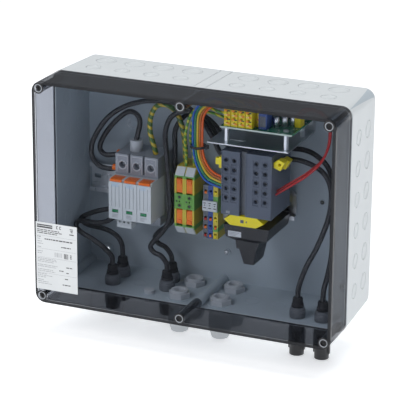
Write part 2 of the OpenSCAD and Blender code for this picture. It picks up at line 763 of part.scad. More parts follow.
// Gear motor that turns the switch shaft inside the drive housing.
module drive_motor() {
    color("slategray") difference() {
        union() {
            span([rotor_x - 7, rotor_y - 9, motor_low], [rotor_x + 9, rotor_y + 9, motor_top]);
            post([rotor_x, rotor_y], 7, motor_top, -27);
        }
        post([rotor_x, rotor_y], rotor_r + 0.05, -34, -26);
    }
}

// ---------- control board ----------

module board_bracket() {
    flange_top = bracket_z + 20;
    color("lightsteelblue") difference() {
        union() {
            span([13, -90, bracket_z - 1.5], [109, -5, bracket_z]);
            span([13, -6.5, bracket_z - 1.5], [109, -5, flange_top]);
        }
        span([33, -74, bracket_z - 3], [51, -70, bracket_z + 1]);
        for (x = standoff_x) bar_out(x, bracket_z + 10, 2, -4, 4);
        for (x = standoff_x, y = standoff_y) post([x, y], 1.55, bracket_z - 3, bracket_z + 1);
    }
}

// Hex standoffs with their screws, and the two screws at the back flange.
module bracket_hardware() {
    color("silver") {
        for (x = standoff_x, y = standoff_y) {
            translate([x, y, bracket_z]) cylinder(r = 2.9, h = board_z - 1.6 - bracket_z, $fn = 6);
            post([x, y], 1.5, bracket_z - 1.5, bracket_z + 1);
            post([x, y], 2.8, bracket_z - 3.5, bracket_z - 1.5);
            post([x, y], 2.8, board_z, board_z + 2);
            post([x, y], 1.5, board_z - 3, board_z + 1);
        }
        for (x = standoff_x) {
            bar_out(x, bracket_z + 10, 3, -6.5, 2);
            bar_out(x, bracket_z + 10, 1.5, -2.5, 5);
        }
    }
}

module control_board() {
    color("seagreen") difference() {
        span([board_x, -90, board_z - 1.6], [board_x + board_w, -24, board_z]);
        for (x = standoff_x, y = standoff_y) post([x, y], 1.55, board_z - 3, board_z + 1);
    }
}

// Plug-in wire connectors along the front, and one for the red wires at the right.
module board_connectors() {
    color("gold") {
        for (k = [0:4]) {
            wide = k < 4;
            w = wide ? 7.6 : 4.6;
            x = connector_x[k];
            difference() {
                span([x, wide ? -88 : -77, board_z], [x + w, -70, board_z + 20]);
                for (z = [4, 10, 16]) if (wide) bar_out(x + w / 2, board_z + z, 1.5, -82, 8);
                post([standoff_x[0], standoff_y[0]], 3.2, board_z - 1, board_z + 2.4);
            }
        }
        span([105.3, -61, board_z], [112, -49, board_z + 10]);
    }
}

module board_relay() {
    color("royalblue") span([board_x + 43.5, -84, board_z], [board_x + 53, -66, board_z + 18]);
}

module board_capacitors() {
    color("silver") for (k = [0:2]) post([board_x + 58 + 7.8 * k, -68 + 6 * k], 3.4, board_z, board_z + 11);
}

// ---------- cable fittings ----------

// Gland body: threaded tube with a hex collar under the box.
module gland_bodies() {
    color("lightgray") for (s = glands) difference() {
        union() {
            post(s, gland_r, floor_pad_low - 16, floor_pad_top + 9);
            translate([s[0], s[1], floor_pad_low - 5]) cylinder(r = 14, h = 5, $fn = 6);
        }
        post(s, gland_bore_r, floor_pad_low - 20, floor_pad_top + 10);
        post(s, 8.5, floor_pad_low - 20, floor_pad_low - 8);
    }
}

module gland_locknuts() {
    color("lightgray") for (s = glands) difference() {
        translate([s[0], s[1], floor_pad_top]) cylinder(r = 13.4, h = 6, $fn = 6);
        post(s, gland_r + 0.05, floor_pad_top - 1, floor_pad_top + 7);
    }
}

// Dome nut below each gland, closing on the seal.
module gland_dome_nuts() {
    color("lightgray") for (s = glands) difference() {
        union() {
            post(s, 12.6, floor_pad_low - 26, floor_pad_low - 5.5);
            translate([s[0], s[1], floor_pad_low - 35]) cylinder(r1 = 10, r2 = 12.6, h = 9.05, $fn = 48);
        }
        post(s, gland_r + 0.05, floor_pad_low - 18, floor_pad_low - 5);
        post(s, gland_bore_r + 1, floor_pad_low - 38, floor_pad_low - 16);
    }
}

module gland_seals() {
    color("dimgray") for (s = glands) difference() {
        post(s, 8.4, floor_pad_low - 16.5, floor_pad_low - 8);
        post(s, gland_bore_r, floor_pad_low - 20, floor_pad_low - 7);
    }
}

// Pressure-equalising plug with a domed head inside the box.
module vent_plug() {
    color("lightgray") union() {
        post(vent, vent_r, floor_pad_low - 2, floor_pad_top + 1);
        post(vent, 6.5, floor_pad_low - 4, floor_pad_low);
        post(vent, 6, floor_pad_top, floor_pad_top + 4);
    }
}

// Lower end of a socket: the four at the left are shorter.
function inlet_low(s) = s[0] < 0 ? fitting_low + inlet_step : fitting_low;

// Panel sockets for the string leads: black bodies that reach below the box.
module string_inlets() {
    color([0.1, 0.1, 0.1]) for (s = inlets) difference() {
        union() {
            post(s, inlet_r, floor_pad_low - 1, inlet_top);
            post(s, 10, floor_pad_low - 4, floor_pad_low);
            post(s, 8.4, inlet_low(s), floor_pad_low - 4);
            for (a = [0, 180]) translate([s[0], s[1], 0]) rotate(a)
                span([7.5, -2, inlet_low(s) + 6], [9.6, 2, floor_pad_low - 8]);
        }
        post(s, 5.6, inlet_low(s) - 1, inlet_low(s) + 20);
    }
}

module inlet_nuts() {
    color("gray") for (s = inlets) difference() {
        union() {
            post(s, 9, floor_pad_top, inlet_top - 3);
            post(s, 8, inlet_top - 3, inlet_top);
        }
        post(s, inlet_r + 0.05, floor_pad_top - 1, inlet_top + 1);
    }
}

// Black boots over the leads where they leave the sockets.
module inlet_boots() {
    color([0.12, 0.12, 0.12]) for (s = inlets) {
        post(s, 6.8, inlet_top, inlet_top + 4);
        post(s, 5.4, inlet_top + 4, boot_top);
    }
}

// ---------- cables ----------

module string_cables() {
    color([0.13, 0.13, 0.14])
        for (route = concat(left_string_routes, middle_string_routes, right_string_routes))
            tube_along(route, string_r, 2, 8);
}

module surge_cables() {
    color([0.13, 0.13, 0.14]) for (route = surge_routes) tube_along(route, string_r, 2, 8);
}

module control_wires() {
    color("orangered") for (route = control_routes) tube_along(route, wire_r, 3, 8);
}

module red_wires() {
    color("firebrick") for (route = red_routes) tube_along(route, wire_r, 3, 8);
}

module ground_wires() {
    color("olivedrab") for (route = ground_routes) tube_along(route, 1.6, 3, 8);
}

// Tie around the control wires.
module cable_tie() {
    color("black") translate([-5.3, -71.5, 58]) difference() {
        union() {
            cylinder(r = 9.2, h = 3);
            span([8.5, -2.5, -0.5], [12, 2.5, 3.5]);
        }
        translate([0, 0, -1]) cylinder(r = 8, h = 5);
    }
}

base_shell();
cover();
cover_gasket();
cover_screw(0);  // cover_screw_1
cover_screw(1);  // cover_screw_2
cover_screw(2);  // cover_screw_3
cover_screw(3);  // cover_screw_4
cover_screw(4);  // cover_screw_5
cover_screw(5);  // cover_screw_6
type_label();
din_rail();
rail_screws();
end_clamps();
spd_base();
spd_plug(0);  // spd_plug_1
spd_plug(1);  // spd_plug_2
spd_plug(2);  // spd_plug_3
spd_signal_plug();
spd_terminal_screws();
spd_entry_bush();
ground_terminals();
ground_lever(0);  // ground_lever_1
ground_lever(1);  // ground_lever_2
ground_lever(2);  // ground_lever_3
ground_lever(3);  // ground_lever_4
terminal_markers();
grey_terminal();
blue_terminal();
earth_terminal();
contact_block_left();
contact_block_right();
switch_core();
switch_clips();
switch_foot();
contact_screws();
switch_rotor();
contact_bridges();
drive_housing();
drive_motor();
board_bracket();
bracket_hardware();
control_board();
board_connectors();
board_relay();
board_capacitors();
gland_bodies();
gland_locknuts();
gland_dome_nuts();
gland_seals();
vent_plug();
string_inlets();
inlet_nuts();
inlet_boots();
string_cables();
surge_cables();
control_wires();
red_wires();
ground_wires();
cable_tie();
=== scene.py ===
"""Looks of a DC combiner box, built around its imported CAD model.

Lengths are in millimetres in the part's own frame: +X right, -Y out of the wall, +Z up.
"""

import logging
import math
import random
from dataclasses import dataclass, field
from enum import Enum

import bmesh
import bpy
from mathutils import Matrix, Vector

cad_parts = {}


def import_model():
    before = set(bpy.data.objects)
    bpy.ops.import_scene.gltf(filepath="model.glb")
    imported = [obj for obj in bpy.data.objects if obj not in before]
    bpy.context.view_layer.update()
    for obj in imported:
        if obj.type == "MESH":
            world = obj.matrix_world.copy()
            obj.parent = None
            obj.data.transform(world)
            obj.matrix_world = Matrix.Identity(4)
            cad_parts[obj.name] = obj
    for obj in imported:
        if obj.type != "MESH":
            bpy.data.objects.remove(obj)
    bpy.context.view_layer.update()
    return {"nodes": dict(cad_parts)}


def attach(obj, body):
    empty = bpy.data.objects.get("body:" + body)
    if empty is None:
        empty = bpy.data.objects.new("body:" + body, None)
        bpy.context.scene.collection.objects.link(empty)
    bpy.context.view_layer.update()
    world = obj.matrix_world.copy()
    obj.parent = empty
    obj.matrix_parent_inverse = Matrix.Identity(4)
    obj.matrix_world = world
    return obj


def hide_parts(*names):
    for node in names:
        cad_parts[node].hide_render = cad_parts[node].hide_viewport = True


LOG = logging.getLogger("combiner_box")
MM = 0.001

Point = tuple[float, float, float]
Colour = tuple[float, float, float]
Route = list[Point]
Profile = list[tuple[float, float]]
Material = bpy.types.Material


class Body(Enum):
    """The CAD bodies that pieces ride on."""

    BASE = "base"
    COVER = "cover"
    PLUG_1 = "plug_1"
    PLUG_2 = "plug_2"
    PLUG_3 = "plug_3"
    LEVER_1 = "lever_1"
    LEVER_2 = "lever_2"
    LEVER_3 = "lever_3"
    LEVER_4 = "lever_4"


class Axis(Enum):
    """The directions of the part's frame."""

    LEFT = (-1.0, 0.0, 0.0)
    OUT = (0.0, -1.0, 0.0)
    UP = (0.0, 0.0, 1.0)
    DOWN = (0.0, 0.0, -1.0)


# ---------- shader graphs ----------


@dataclass(frozen=True)
class Value:
    """A node's output that takes part in Python expressions."""

    graph: "Graph"
    socket: bpy.types.NodeSocket

    def _maths(self, operation: str, *terms: "Value | float") -> "Value":
        """Add one Math node over the terms."""
        return self.graph.node("ShaderNodeMath", {"operation": operation}, dict(enumerate(terms)))

    def __add__(self, other: "Value | float") -> "Value":
        """Sum."""
        return self._maths("ADD", self, other)

    def __radd__(self, other: float) -> "Value":
        """Sum with a number on the left."""
        return self._maths("ADD", other, self)

    def __sub__(self, other: "Value | float") -> "Value":
        """Difference."""
        return self._maths("SUBTRACT", self, other)

    def __rsub__(self, other: float) -> "Value":
        """Difference from a number."""
        return self._maths("SUBTRACT", other, self)

    def __mul__(self, other: "Value | float") -> "Value":
        """Product."""
        return self._maths("MULTIPLY", self, other)

    def __rmul__(self, other: float) -> "Value":
        """Product with a number on the left."""
        return self._maths("MULTIPLY", other, self)

    def __pow__(self, power: float) -> "Value":
        """Power."""
        return self._maths("POWER", self, power)

    def __abs__(self) -> "Value":
        """Size without its sign."""
        return self._maths("ABSOLUTE", self)

    def above(self, level: float) -> "Value":
        """1 where the value is above the level, else 0."""
        return self._maths("GREATER_THAN", self, level)

    def below(self, level: float) -> "Value":
        """1 where the value is below the level, else 0."""
        return self._maths("LESS_THAN", self, level)

    def wave(self, pitch: float) -> "Value":
        """A wave from -1 to 1 with the given pitch."""
        return self._maths("SINE", self * (2 * math.pi / pitch))

    def either(self, other: "Value") -> "Value":
        """The larger of two values."""
        return self._maths("MAXIMUM", self, other)


class Graph:
    """The nodes of one material."""

    def __init__(self, name: str) -> None:
        """Start an empty material.

        Args:
            name: the material's name.
        """
        self.material = bpy.data.materials.new(name)
        self.material.use_nodes = True
        self.tree = self.material.node_tree
        self.tree.nodes.clear()

    def node(
        self,
        kind: str,
        settings: "dict[str, object] | None" = None,
        inputs: "dict[str | int, object] | None" = None,
        output: "int | str" = 0,
    ) -> Value:
        """Add a node.

        Args:
            kind: the node's type.
            settings: its settings, set before its sockets; stops are a ramp's (place, colour) pairs.
            inputs: numbers, colours or Values for its sockets.
            output: the output that the result stands for.

        Returns:
            The chosen output.
        """
        node = self.tree.nodes.new(kind)
        for name, setting in (settings or {}).items():
            if name == "stops":
                ramp = node.color_ramp.elements
                while len(ramp) < len(setting):
                    ramp.new(1.0)
                for stop, (place, colour) in zip(ramp, setting):
                    stop.position = place
                    stop.color = (*colour, 1.0)
            else:
                setattr(node, name, setting)
        for key, value in (inputs or {}).items():
            if isinstance(value, Value):
                self.tree.links.new(value.socket, node.inputs[key])
            else:
                node.inputs[key].default_value = value
        return Value(self, node.outputs[output])

    def place(self, stretch: Point = (1.0, 1.0, 1.0)) -> Value:
        """The point on the piece in millimetres, times a stretch along each axis.

        Args:
            stretch: how much each axis is squeezed.

        Returns:
            The point.
        """
        spot = self.node("ShaderNodeTexCoord", output="Object")
        scale = tuple(s / MM for s in stretch)
        return self.node("ShaderNodeVectorMath", {"operation": "MULTIPLY"}, {0: spot, 1: scale})

    def along(self, axis: str) -> Value:
        """The distance along an axis in millimetres."""
        return self.node("ShaderNodeSeparateXYZ", inputs={0: self.place()}, output=axis)

    def normal(self) -> Value:
        """The direction that the surface faces, in the part's frame."""
        return self.node("ShaderNodeTexCoord", output="Normal")

    def noise(self, size: float, detail: float = 3.0, stretch: Point = (1.0, 1.0, 1.0)) -> Value:
        """Cloudy noise from 0 to 1.

        Args:
            size: the size of its features in millimetres.
            detail: how many finer layers it has.
            stretch: how much each axis is squeezed.

        Returns:
            The noise.
        """
        inputs = {"Vector": self.place(stretch), "Scale": 1.0 / size, "Detail": detail, "Roughness": 0.55}
        return self.node("ShaderNodeTexNoise", {"noise_dimensions": "3D"}, inputs)

    def cells(self, size: float) -> Value:
        """Distance to the nearest of scattered points, in cells of the given size."""
        inputs = {"Vector": self.place(), "Scale": 1.0 / size}
        return self.node("ShaderNodeTexVoronoi", {"feature": "F1"}, inputs)

    def blend(self, share: "Value | float", first: "Colour | Value", second: "Colour | Value") -> Value:
        """Mix two colours."""
        inputs = {0: share, 6: self._rgba(first), 7: self._rgba(second)}
        return self.node("ShaderNodeMix", {"data_type": "RGBA"}, inputs, output=2)

    @staticmethod
    def _rgba(colour: "Colour | Value") -> "Value | tuple[float, ...]":
        """A colour as a socket takes it."""
        return colour if isinstance(colour, Value) else (*colour, 1.0)

    def surface(self, sockets: dict[str, object], relief: "Value | None" = None, depth: float = 0.0) -> Value:
        """Principled surface.

        Args:
            sockets: values of its sockets.
            relief: height of the surface from 0 to 1.
            depth: the relief's depth in millimetres.

        Returns:
            The shader.
        """
        inputs = {name: self._rgba(v) if name == "Base Color" else v for name, v in sockets.items()}
        if relief is not None:
            heights = {"Strength": 1.0, "Distance": depth * MM, "Height": relief}
            inputs["Normal"] = self.node("ShaderNodeBump", inputs=heights)
        return self.node("ShaderNodeBsdfPrincipled", inputs=inputs)

    def close(self, shader: Value) -> Material:
        """Send the shader to the output.

        Args:
            shader: the surface's shader.

        Returns:
            The finished material.
        """
        output = self.tree.nodes.new("ShaderNodeOutputMaterial")
        self.tree.links.new(shader.socket, output.inputs["Surface"])
        return self.material


def shaded(colour: Colour, factor: float) -> Colour:
    """A colour made lighter or darker by a factor."""
    return tuple(min(1.0, c * factor) for c in colour)


# ---------- finishes ----------


@dataclass(frozen=True)
class Moulded:
    """Moulded plastic with a spark-eroded grain, slight mottling and handling marks."""

    name: str
    colour: Colour
    roughness: float = 0.48
    grain: float = 0.5
    depth: float = 0.025
    mottle: float = 0.05

    def material(self) -> Material:
        """Build the material."""
        graph = Graph(self.name)
        clouds = graph.noise(26.0)
        marks = graph.noise(5.0, 5.0)
        tint = graph.blend(clouds, shaded(self.colour, 1 - self.mottle), shaded(self.colour, 1 + self.mottle))
        tint = graph.blend(marks.above(0.62) * 0.35, tint, shaded(self.colour, 1 - 2.2 * self.mottle))
        sockets = {"Base Color": tint, "Roughness": marks * 0.16 + (self.roughness - 0.08)}
        return graph.close(graph.surface(sockets, graph.noise(self.grain, 2.0), self.depth))


@dataclass(frozen=True)
class ShellPlastic:
    """The shell's light grey plastic, with a coarser grain on its inside and a darker colour there that is painted
    shade.
    """

    name: str = "shell_grey_plastic"
    outside: Colour = (0.66, 0.69, 0.70)
    # painted shade: the inside colour stands for the shade inside the box; the plastic is the same as outside
    inside: Colour = (0.47, 0.53, 0.57)
    cavity: Point = (176.6, 2.6, 128.6)

    def material(self) -> Material:
        """Build the material."""
        graph = Graph(self.name)
        x, y, z = self.cavity
        inner = abs(graph.along("X")).below(x) * graph.along("Y").below(-y) * abs(graph.along("Z")).below(z)
        clouds = graph.noise(30.0)
        marks = graph.noise(6.0, 5.0)
        # inner masks the faces inside the cavity, which take the darker inside colour as painted shade
        tint = graph.blend(inner, self.outside, self.inside)
        tint = graph.blend(clouds * 0.12, tint, shaded(self.inside, 0.7))
        sockets = {"Base Color": tint, "Roughness": marks * 0.14 + inner * 0.1 + 0.42}
        return graph.close(graph.surface(sockets, graph.noise(0.5, 2.0) + inner * marks, 0.03))


@dataclass(frozen=True)
class Smoked:
    """Smoked transparent polycarbonate: it lets tinted light through and darkens at a glance."""

    name: str = "smoked_polycarbonate"
    tint: Colour = (0.92, 0.935, 0.965)
    body: Colour = (0.012, 0.013, 0.016)
    straight: float = 0.03
    slant: float = 0.6
    flange: float = 0.36
    # inner limits of a band round the front edges that is darkened as painted shade for the light lost in the thick
    # corners
    painted_shade_band: Point = (176.2, 132.0, 128.2)

    def material(self) -> Material:
        """Build the material."""
        graph = Graph(self.name)
        facing = graph.node("ShaderNodeLayerWeight", inputs={"Blend": 0.5}, output="Facing")
        haze = graph.noise(40.0, 4.0)
        gloss = graph.surface(
            {"Base Color": self.body, "Roughness": haze * 0.05 + 0.05, "Specular IOR Level": 0.2},
            graph.noise(90.0, 1.0),
            0.25,
        )
        clear = graph.node("ShaderNodeBsdfTransparent", inputs={0: (*self.tint, 1.0)})
        upright = abs(graph.node("ShaderNodeSeparateXYZ", inputs={0: graph.normal()}, output="Z"))
        front = graph.along("Y").below(-self.painted_shade_band[1])
        sides = abs(graph.along("X")).above(self.painted_shade_band[0]).either(abs(graph.along("Z")).above(self.painted_shade_band[2]))
        share = facing**1.5 * self.slant + haze * 0.02 + self.straight
        # front * sides is the band round the front edges, pushed towards the dark gloss as painted shade
        share = (share + upright * self.flange).either(front * sides * 0.9)
        return graph.close(graph.node("ShaderNodeMixShader", inputs={0: share, 1: clear, 2: gloss}))


@dataclass(frozen=True)
class Film:
    """Thin clear bag film with creases that catch the light, and a painted highlight that makes the raised creases
    paler and less clear.
    """

    name: str = "clear_bag_film"

    def material(self) -> Material:
        """Build the material."""
        graph = Graph(self.name)
        creases = graph.noise(4.5, 4.0, (1.0, 1.0, 0.6))
        gloss = graph.surface({"Base Color": (0.82, 0.85, 0.88), "Roughness": 0.16}, creases, 0.9)
        clear = graph.node("ShaderNodeBsdfTransparent", inputs={0: (0.96, 0.97, 0.98, 1.0)})
        # painted highlight: where the creases stand up the pale gloss takes a larger share
        share = creases.above(0.56) * 0.38 + 0.12
        return graph.close(graph.node("ShaderNodeMixShader", inputs={0: share, 1: clear, 2: gloss}))


@dataclass(frozen=True)
class Plated:
    """Bright plated or rolled metal with drawing lines, dull clouds and small stains."""

    name: str
    colour: Colour
    roughness: float = 0.3
    drawn: Point = (0.04, 1.0, 1.0)

    def material(self) -> Material:
        """Build the material."""
        graph = Graph(self.name)
        lines = graph.noise(0.5, 2.0, self.drawn)
        clouds = graph.noise(9.0, 4.0)
        tint = graph.blend(clouds, shaded(self.colour, 0.86), shaded(self.colour, 1.08))
        sockets = {
            "Base Color": tint,
            "Metallic": 1.0,
            "Roughness": lines * 0.12 + clouds * 0.14 + (self.roughness - 0.13),
        }
        return graph.close(graph.surface(sockets, lines, 0.012))


@dataclass(frozen=True)
class Sheath:
    """Cable sheath or wire insulation with faint rubbing marks and a stranded lie."""

    name: str
    colour: Colour
    roughness: float = 0.42
    stripe: "Colour | None" = None

    def material(self) -> Material:
        """Build the material."""
        graph = Graph(self.name)
        rub = graph.noise(3.0, 5.0)
        tint = graph.blend(rub.above(0.6) * 0.4, self.colour, tuple(c * 0.8 + 0.035 for c in self.colour))
        if self.stripe is not None:
            lay = (graph.along("Z") + graph.along("X") * 0.6).wave(9.0)
            tint = graph.blend(lay.above(0.25), tint, self.stripe)
        sockets = {"Base Color": tint, "Roughness": rub * 0.18 + (self.roughness - 0.09)}
        return graph.close(graph.surface(sockets, graph.noise(0.9, 2.0), 0.03))


@dataclass(frozen=True)
class GreenYellow:
    """Earth terminal plastic: yellow cheeks and a green middle, in bands along the height."""

    name: str
    middle: float
    yellow: Colour = (0.72, 0.58, 0.05)
    green: Colour = (0.16, 0.40, 0.07)

    def material(self) -> Material:
        """Build the material."""
        graph = Graph(self.name)
        height = abs(graph.along("Z") - self.middle)
        band = height.below(9.5).either(height.above(27.5) * height.below(33.0))
        edge = graph.noise(7.0) * 0.25
        green = graph.blend(edge, self.green, shaded(self.green, 1.5))
        yellow = graph.blend(edge, self.yellow, shaded(self.yellow, 0.75))
        sockets = {"Base Color": graph.blend(band, yellow, green), "Roughness": graph.noise(4.0) * 0.1 + 0.38}
        return graph.close(graph.surface(sockets, graph.noise(0.5, 2.0), 0.02))


@dataclass(frozen=True)
class SolderMask:
    """Green solder mask with copper tracks under it and tinned pads."""

    name: str = "solder_mask"
    mask: Colour = (0.02, 0.16, 0.09)
    track: Colour = (0.05, 0.30, 0.15)
    pad: Colour = (0.72, 0.74, 0.70)

    def material(self) -> Material:
        """Build the material."""
        graph = Graph(self.name)
        lanes = (graph.along("X").wave(3.2)).above(0.72) * graph.noise(11.0, 0.0).above(0.5)
        cross = (graph.along("Y").wave(4.1)).above(0.78) * graph.noise(13.0, 0.0).above(0.52)
        tracks = lanes.either(cross)
        pads = graph.cells(4.2).below(0.2)
        tint = graph.blend(pads, graph.blend(tracks, self.mask, self.track), self.pad)
        sockets = {"Base Color": tint, "Metallic": pads * 0.8, "Roughness": pads * 0.1 + 0.24}
        return graph.close(graph.surface(sockets, tracks.either(pads), 0.05))


@dataclass(frozen=True)
class Paper:
    """Printed film label: matt white with a faint tooth and a slight yellowing."""

    name: str = "label_film"
    colour: Colour = (0.66, 0.68, 0.69)

    def material(self) -> Material:
        """Build the material."""
        graph = Graph(self.name)
        tint = graph.blend(graph.noise(18.0), self.colour, shaded(self.colour, 0.94))
        sockets = {"Base Color": tint, "Roughness": graph.noise(2.0) * 0.1 + 0.4}
        return graph.close(graph.surface(sockets, graph.noise(0.3, 2.0), 0.008))


@dataclass
class Finishes:
    """Every finish of the box, built once."""

    shell: Material = field(init=False)
    smoked: Material = field(init=False)
    seal: Material = field(init=False)
    screw: Material = field(init=False)
    paper: Material = field(init=False)
    ink: Material = field(init=False)
    pale_ink: Material = field(init=False)
    blue_ink: Material = field(init=False)
    zinc: Material = field(init=False)
    steel: Material = field(init=False)
    brass: Material = field(init=False)
    device_grey: Material = field(init=False)
    device_white: Material = field(init=False)
    fitting_grey: Material = field(init=False)
    dark_grey: Material = field(init=False)
    switch_grey: Material = field(init=False)
    black: Material = field(init=False)
    orange: Material = field(init=False)
    amber: Material = field(init=False)
    yellow: Material = field(init=False)
    blue: Material = field(init=False)
    red: Material = field(init=False)
    window_green: Material = field(init=False)
    terminal: Material = field(init=False)
    board: Material = field(init=False)
    board_edge: Material = field(init=False)
    can: Material = field(init=False)
    cable: Material = field(init=False)
    film: Material = field(init=False)

    def __post_init__(self) -> None:
        """Build the materials."""
        self.shell = ShellPlastic().material()
        self.smoked = Smoked().material()
        self.seal = Moulded("foam_seal", (0.02, 0.02, 0.023), 0.7, 0.9, 0.12).material()
        self.screw = Moulded("screw_black_plastic", (0.01, 0.01, 0.012), 0.5).material()
        self.paper = Paper().material()
        self.ink = Moulded("label_ink", (0.05, 0.05, 0.055), 0.5, 0.3, 0.004).material()
        self.pale_ink = Moulded("pale_ink", (0.34, 0.35, 0.37), 0.5, 0.3, 0.004).material()
        self.blue_ink = Moulded("blue_ink", (0.45, 0.62, 0.78), 0.5, 0.3, 0.004).material()
        self.zinc = Plated("zinc_plating", (0.80, 0.81, 0.82), 0.3).material()
        self.steel = Plated("bracket_steel", (0.56, 0.59, 0.62), 0.36, (0.06, 1.0, 1.0)).material()
        self.brass = Plated("contact_brass", (0.78, 0.56, 0.22), 0.32, (1.0, 1.0, 0.1)).material()
        self.device_grey = Moulded("device_grey_plastic", (0.31, 0.33, 0.36), 0.42).material()
        self.device_white = Moulded("device_white_plastic", (0.68, 0.71, 0.71), 0.4, 0.4, 0.015, 0.03).material()
        self.fitting_grey = Moulded("fitting_grey_plastic", (0.56, 0.58, 0.60), 0.45).material()
        self.dark_grey = Moulded("dark_grey_plastic", (0.14, 0.15, 0.165), 0.42).material()
        self.switch_grey = Moulded("switch_blue_grey_plastic", (0.105, 0.125, 0.165), 0.4, 0.6, 0.03).material()
        self.black = Moulded("black_plastic", (0.016, 0.016, 0.018), 0.36, 0.6, 0.04).material()
        self.orange = Moulded("orange_plastic", (1.0, 0.19, 0.008), 0.32, 0.6, 0.015).material()
        self.amber = Moulded("amber_plastic", (1.0, 0.36, 0.02), 0.34, 0.6, 0.015).material()
        self.yellow = Moulded("yellow_plastic", (1.0, 0.80, 0.015), 0.36, 0.6, 0.02).material()
        self.blue = Moulded("blue_plastic", (0.03, 0.08, 0.30), 0.36, 0.6, 0.02).material()
        self.red = Moulded("red_plastic", (0.55, 0.03, 0.02), 0.36, 0.6, 0.02).material()
        self.window_green = Moulded("window_green", (0.03, 0.26, 0.10), 0.2, 0.6, 0.01).material()
        self.terminal = GreenYellow("earth_terminal_plastic", -16.0).material()
        self.board = SolderMask().material()
        self.board_edge = Moulded("board_laminate", (0.62, 0.72, 0.62), 0.4, 0.3, 0.02).material()
        self.can = Plated("capacitor_can", (0.85, 0.86, 0.88), 0.26, (1.0, 1.0, 0.1)).material()
        self.cable = Sheath("cable_black_sheath", (0.022, 0.023, 0.026), 0.4).material()
        self.film = Film().material()


# ---------- meshes ----------


def smooth_route(route: Route, steps: int) -> list[Vector]:
    """Points on a smooth curve through a route.

    Args:
        route: the points that it passes.
        steps: how many parts each stretch gets.

    Returns:
        The points of the curve.
    """
    spots = [Vector(p) for p in route]
    last = len(spots) - 1
    points = []
    for i in range(last):
        a, b, c, d = spots[max(i - 1, 0)], spots[i], spots[i + 1], spots[min(i + 2, last)]
        for s in range(steps):
            t = s / steps
            bend = (2 * a - 5 * b + 4 * c - d) * t * t + (3 * b - a - 3 * c + d) * t**3
            points.append(0.5 * (2 * b + (c - a) * t + bend))
    return [*points, spots[last]]


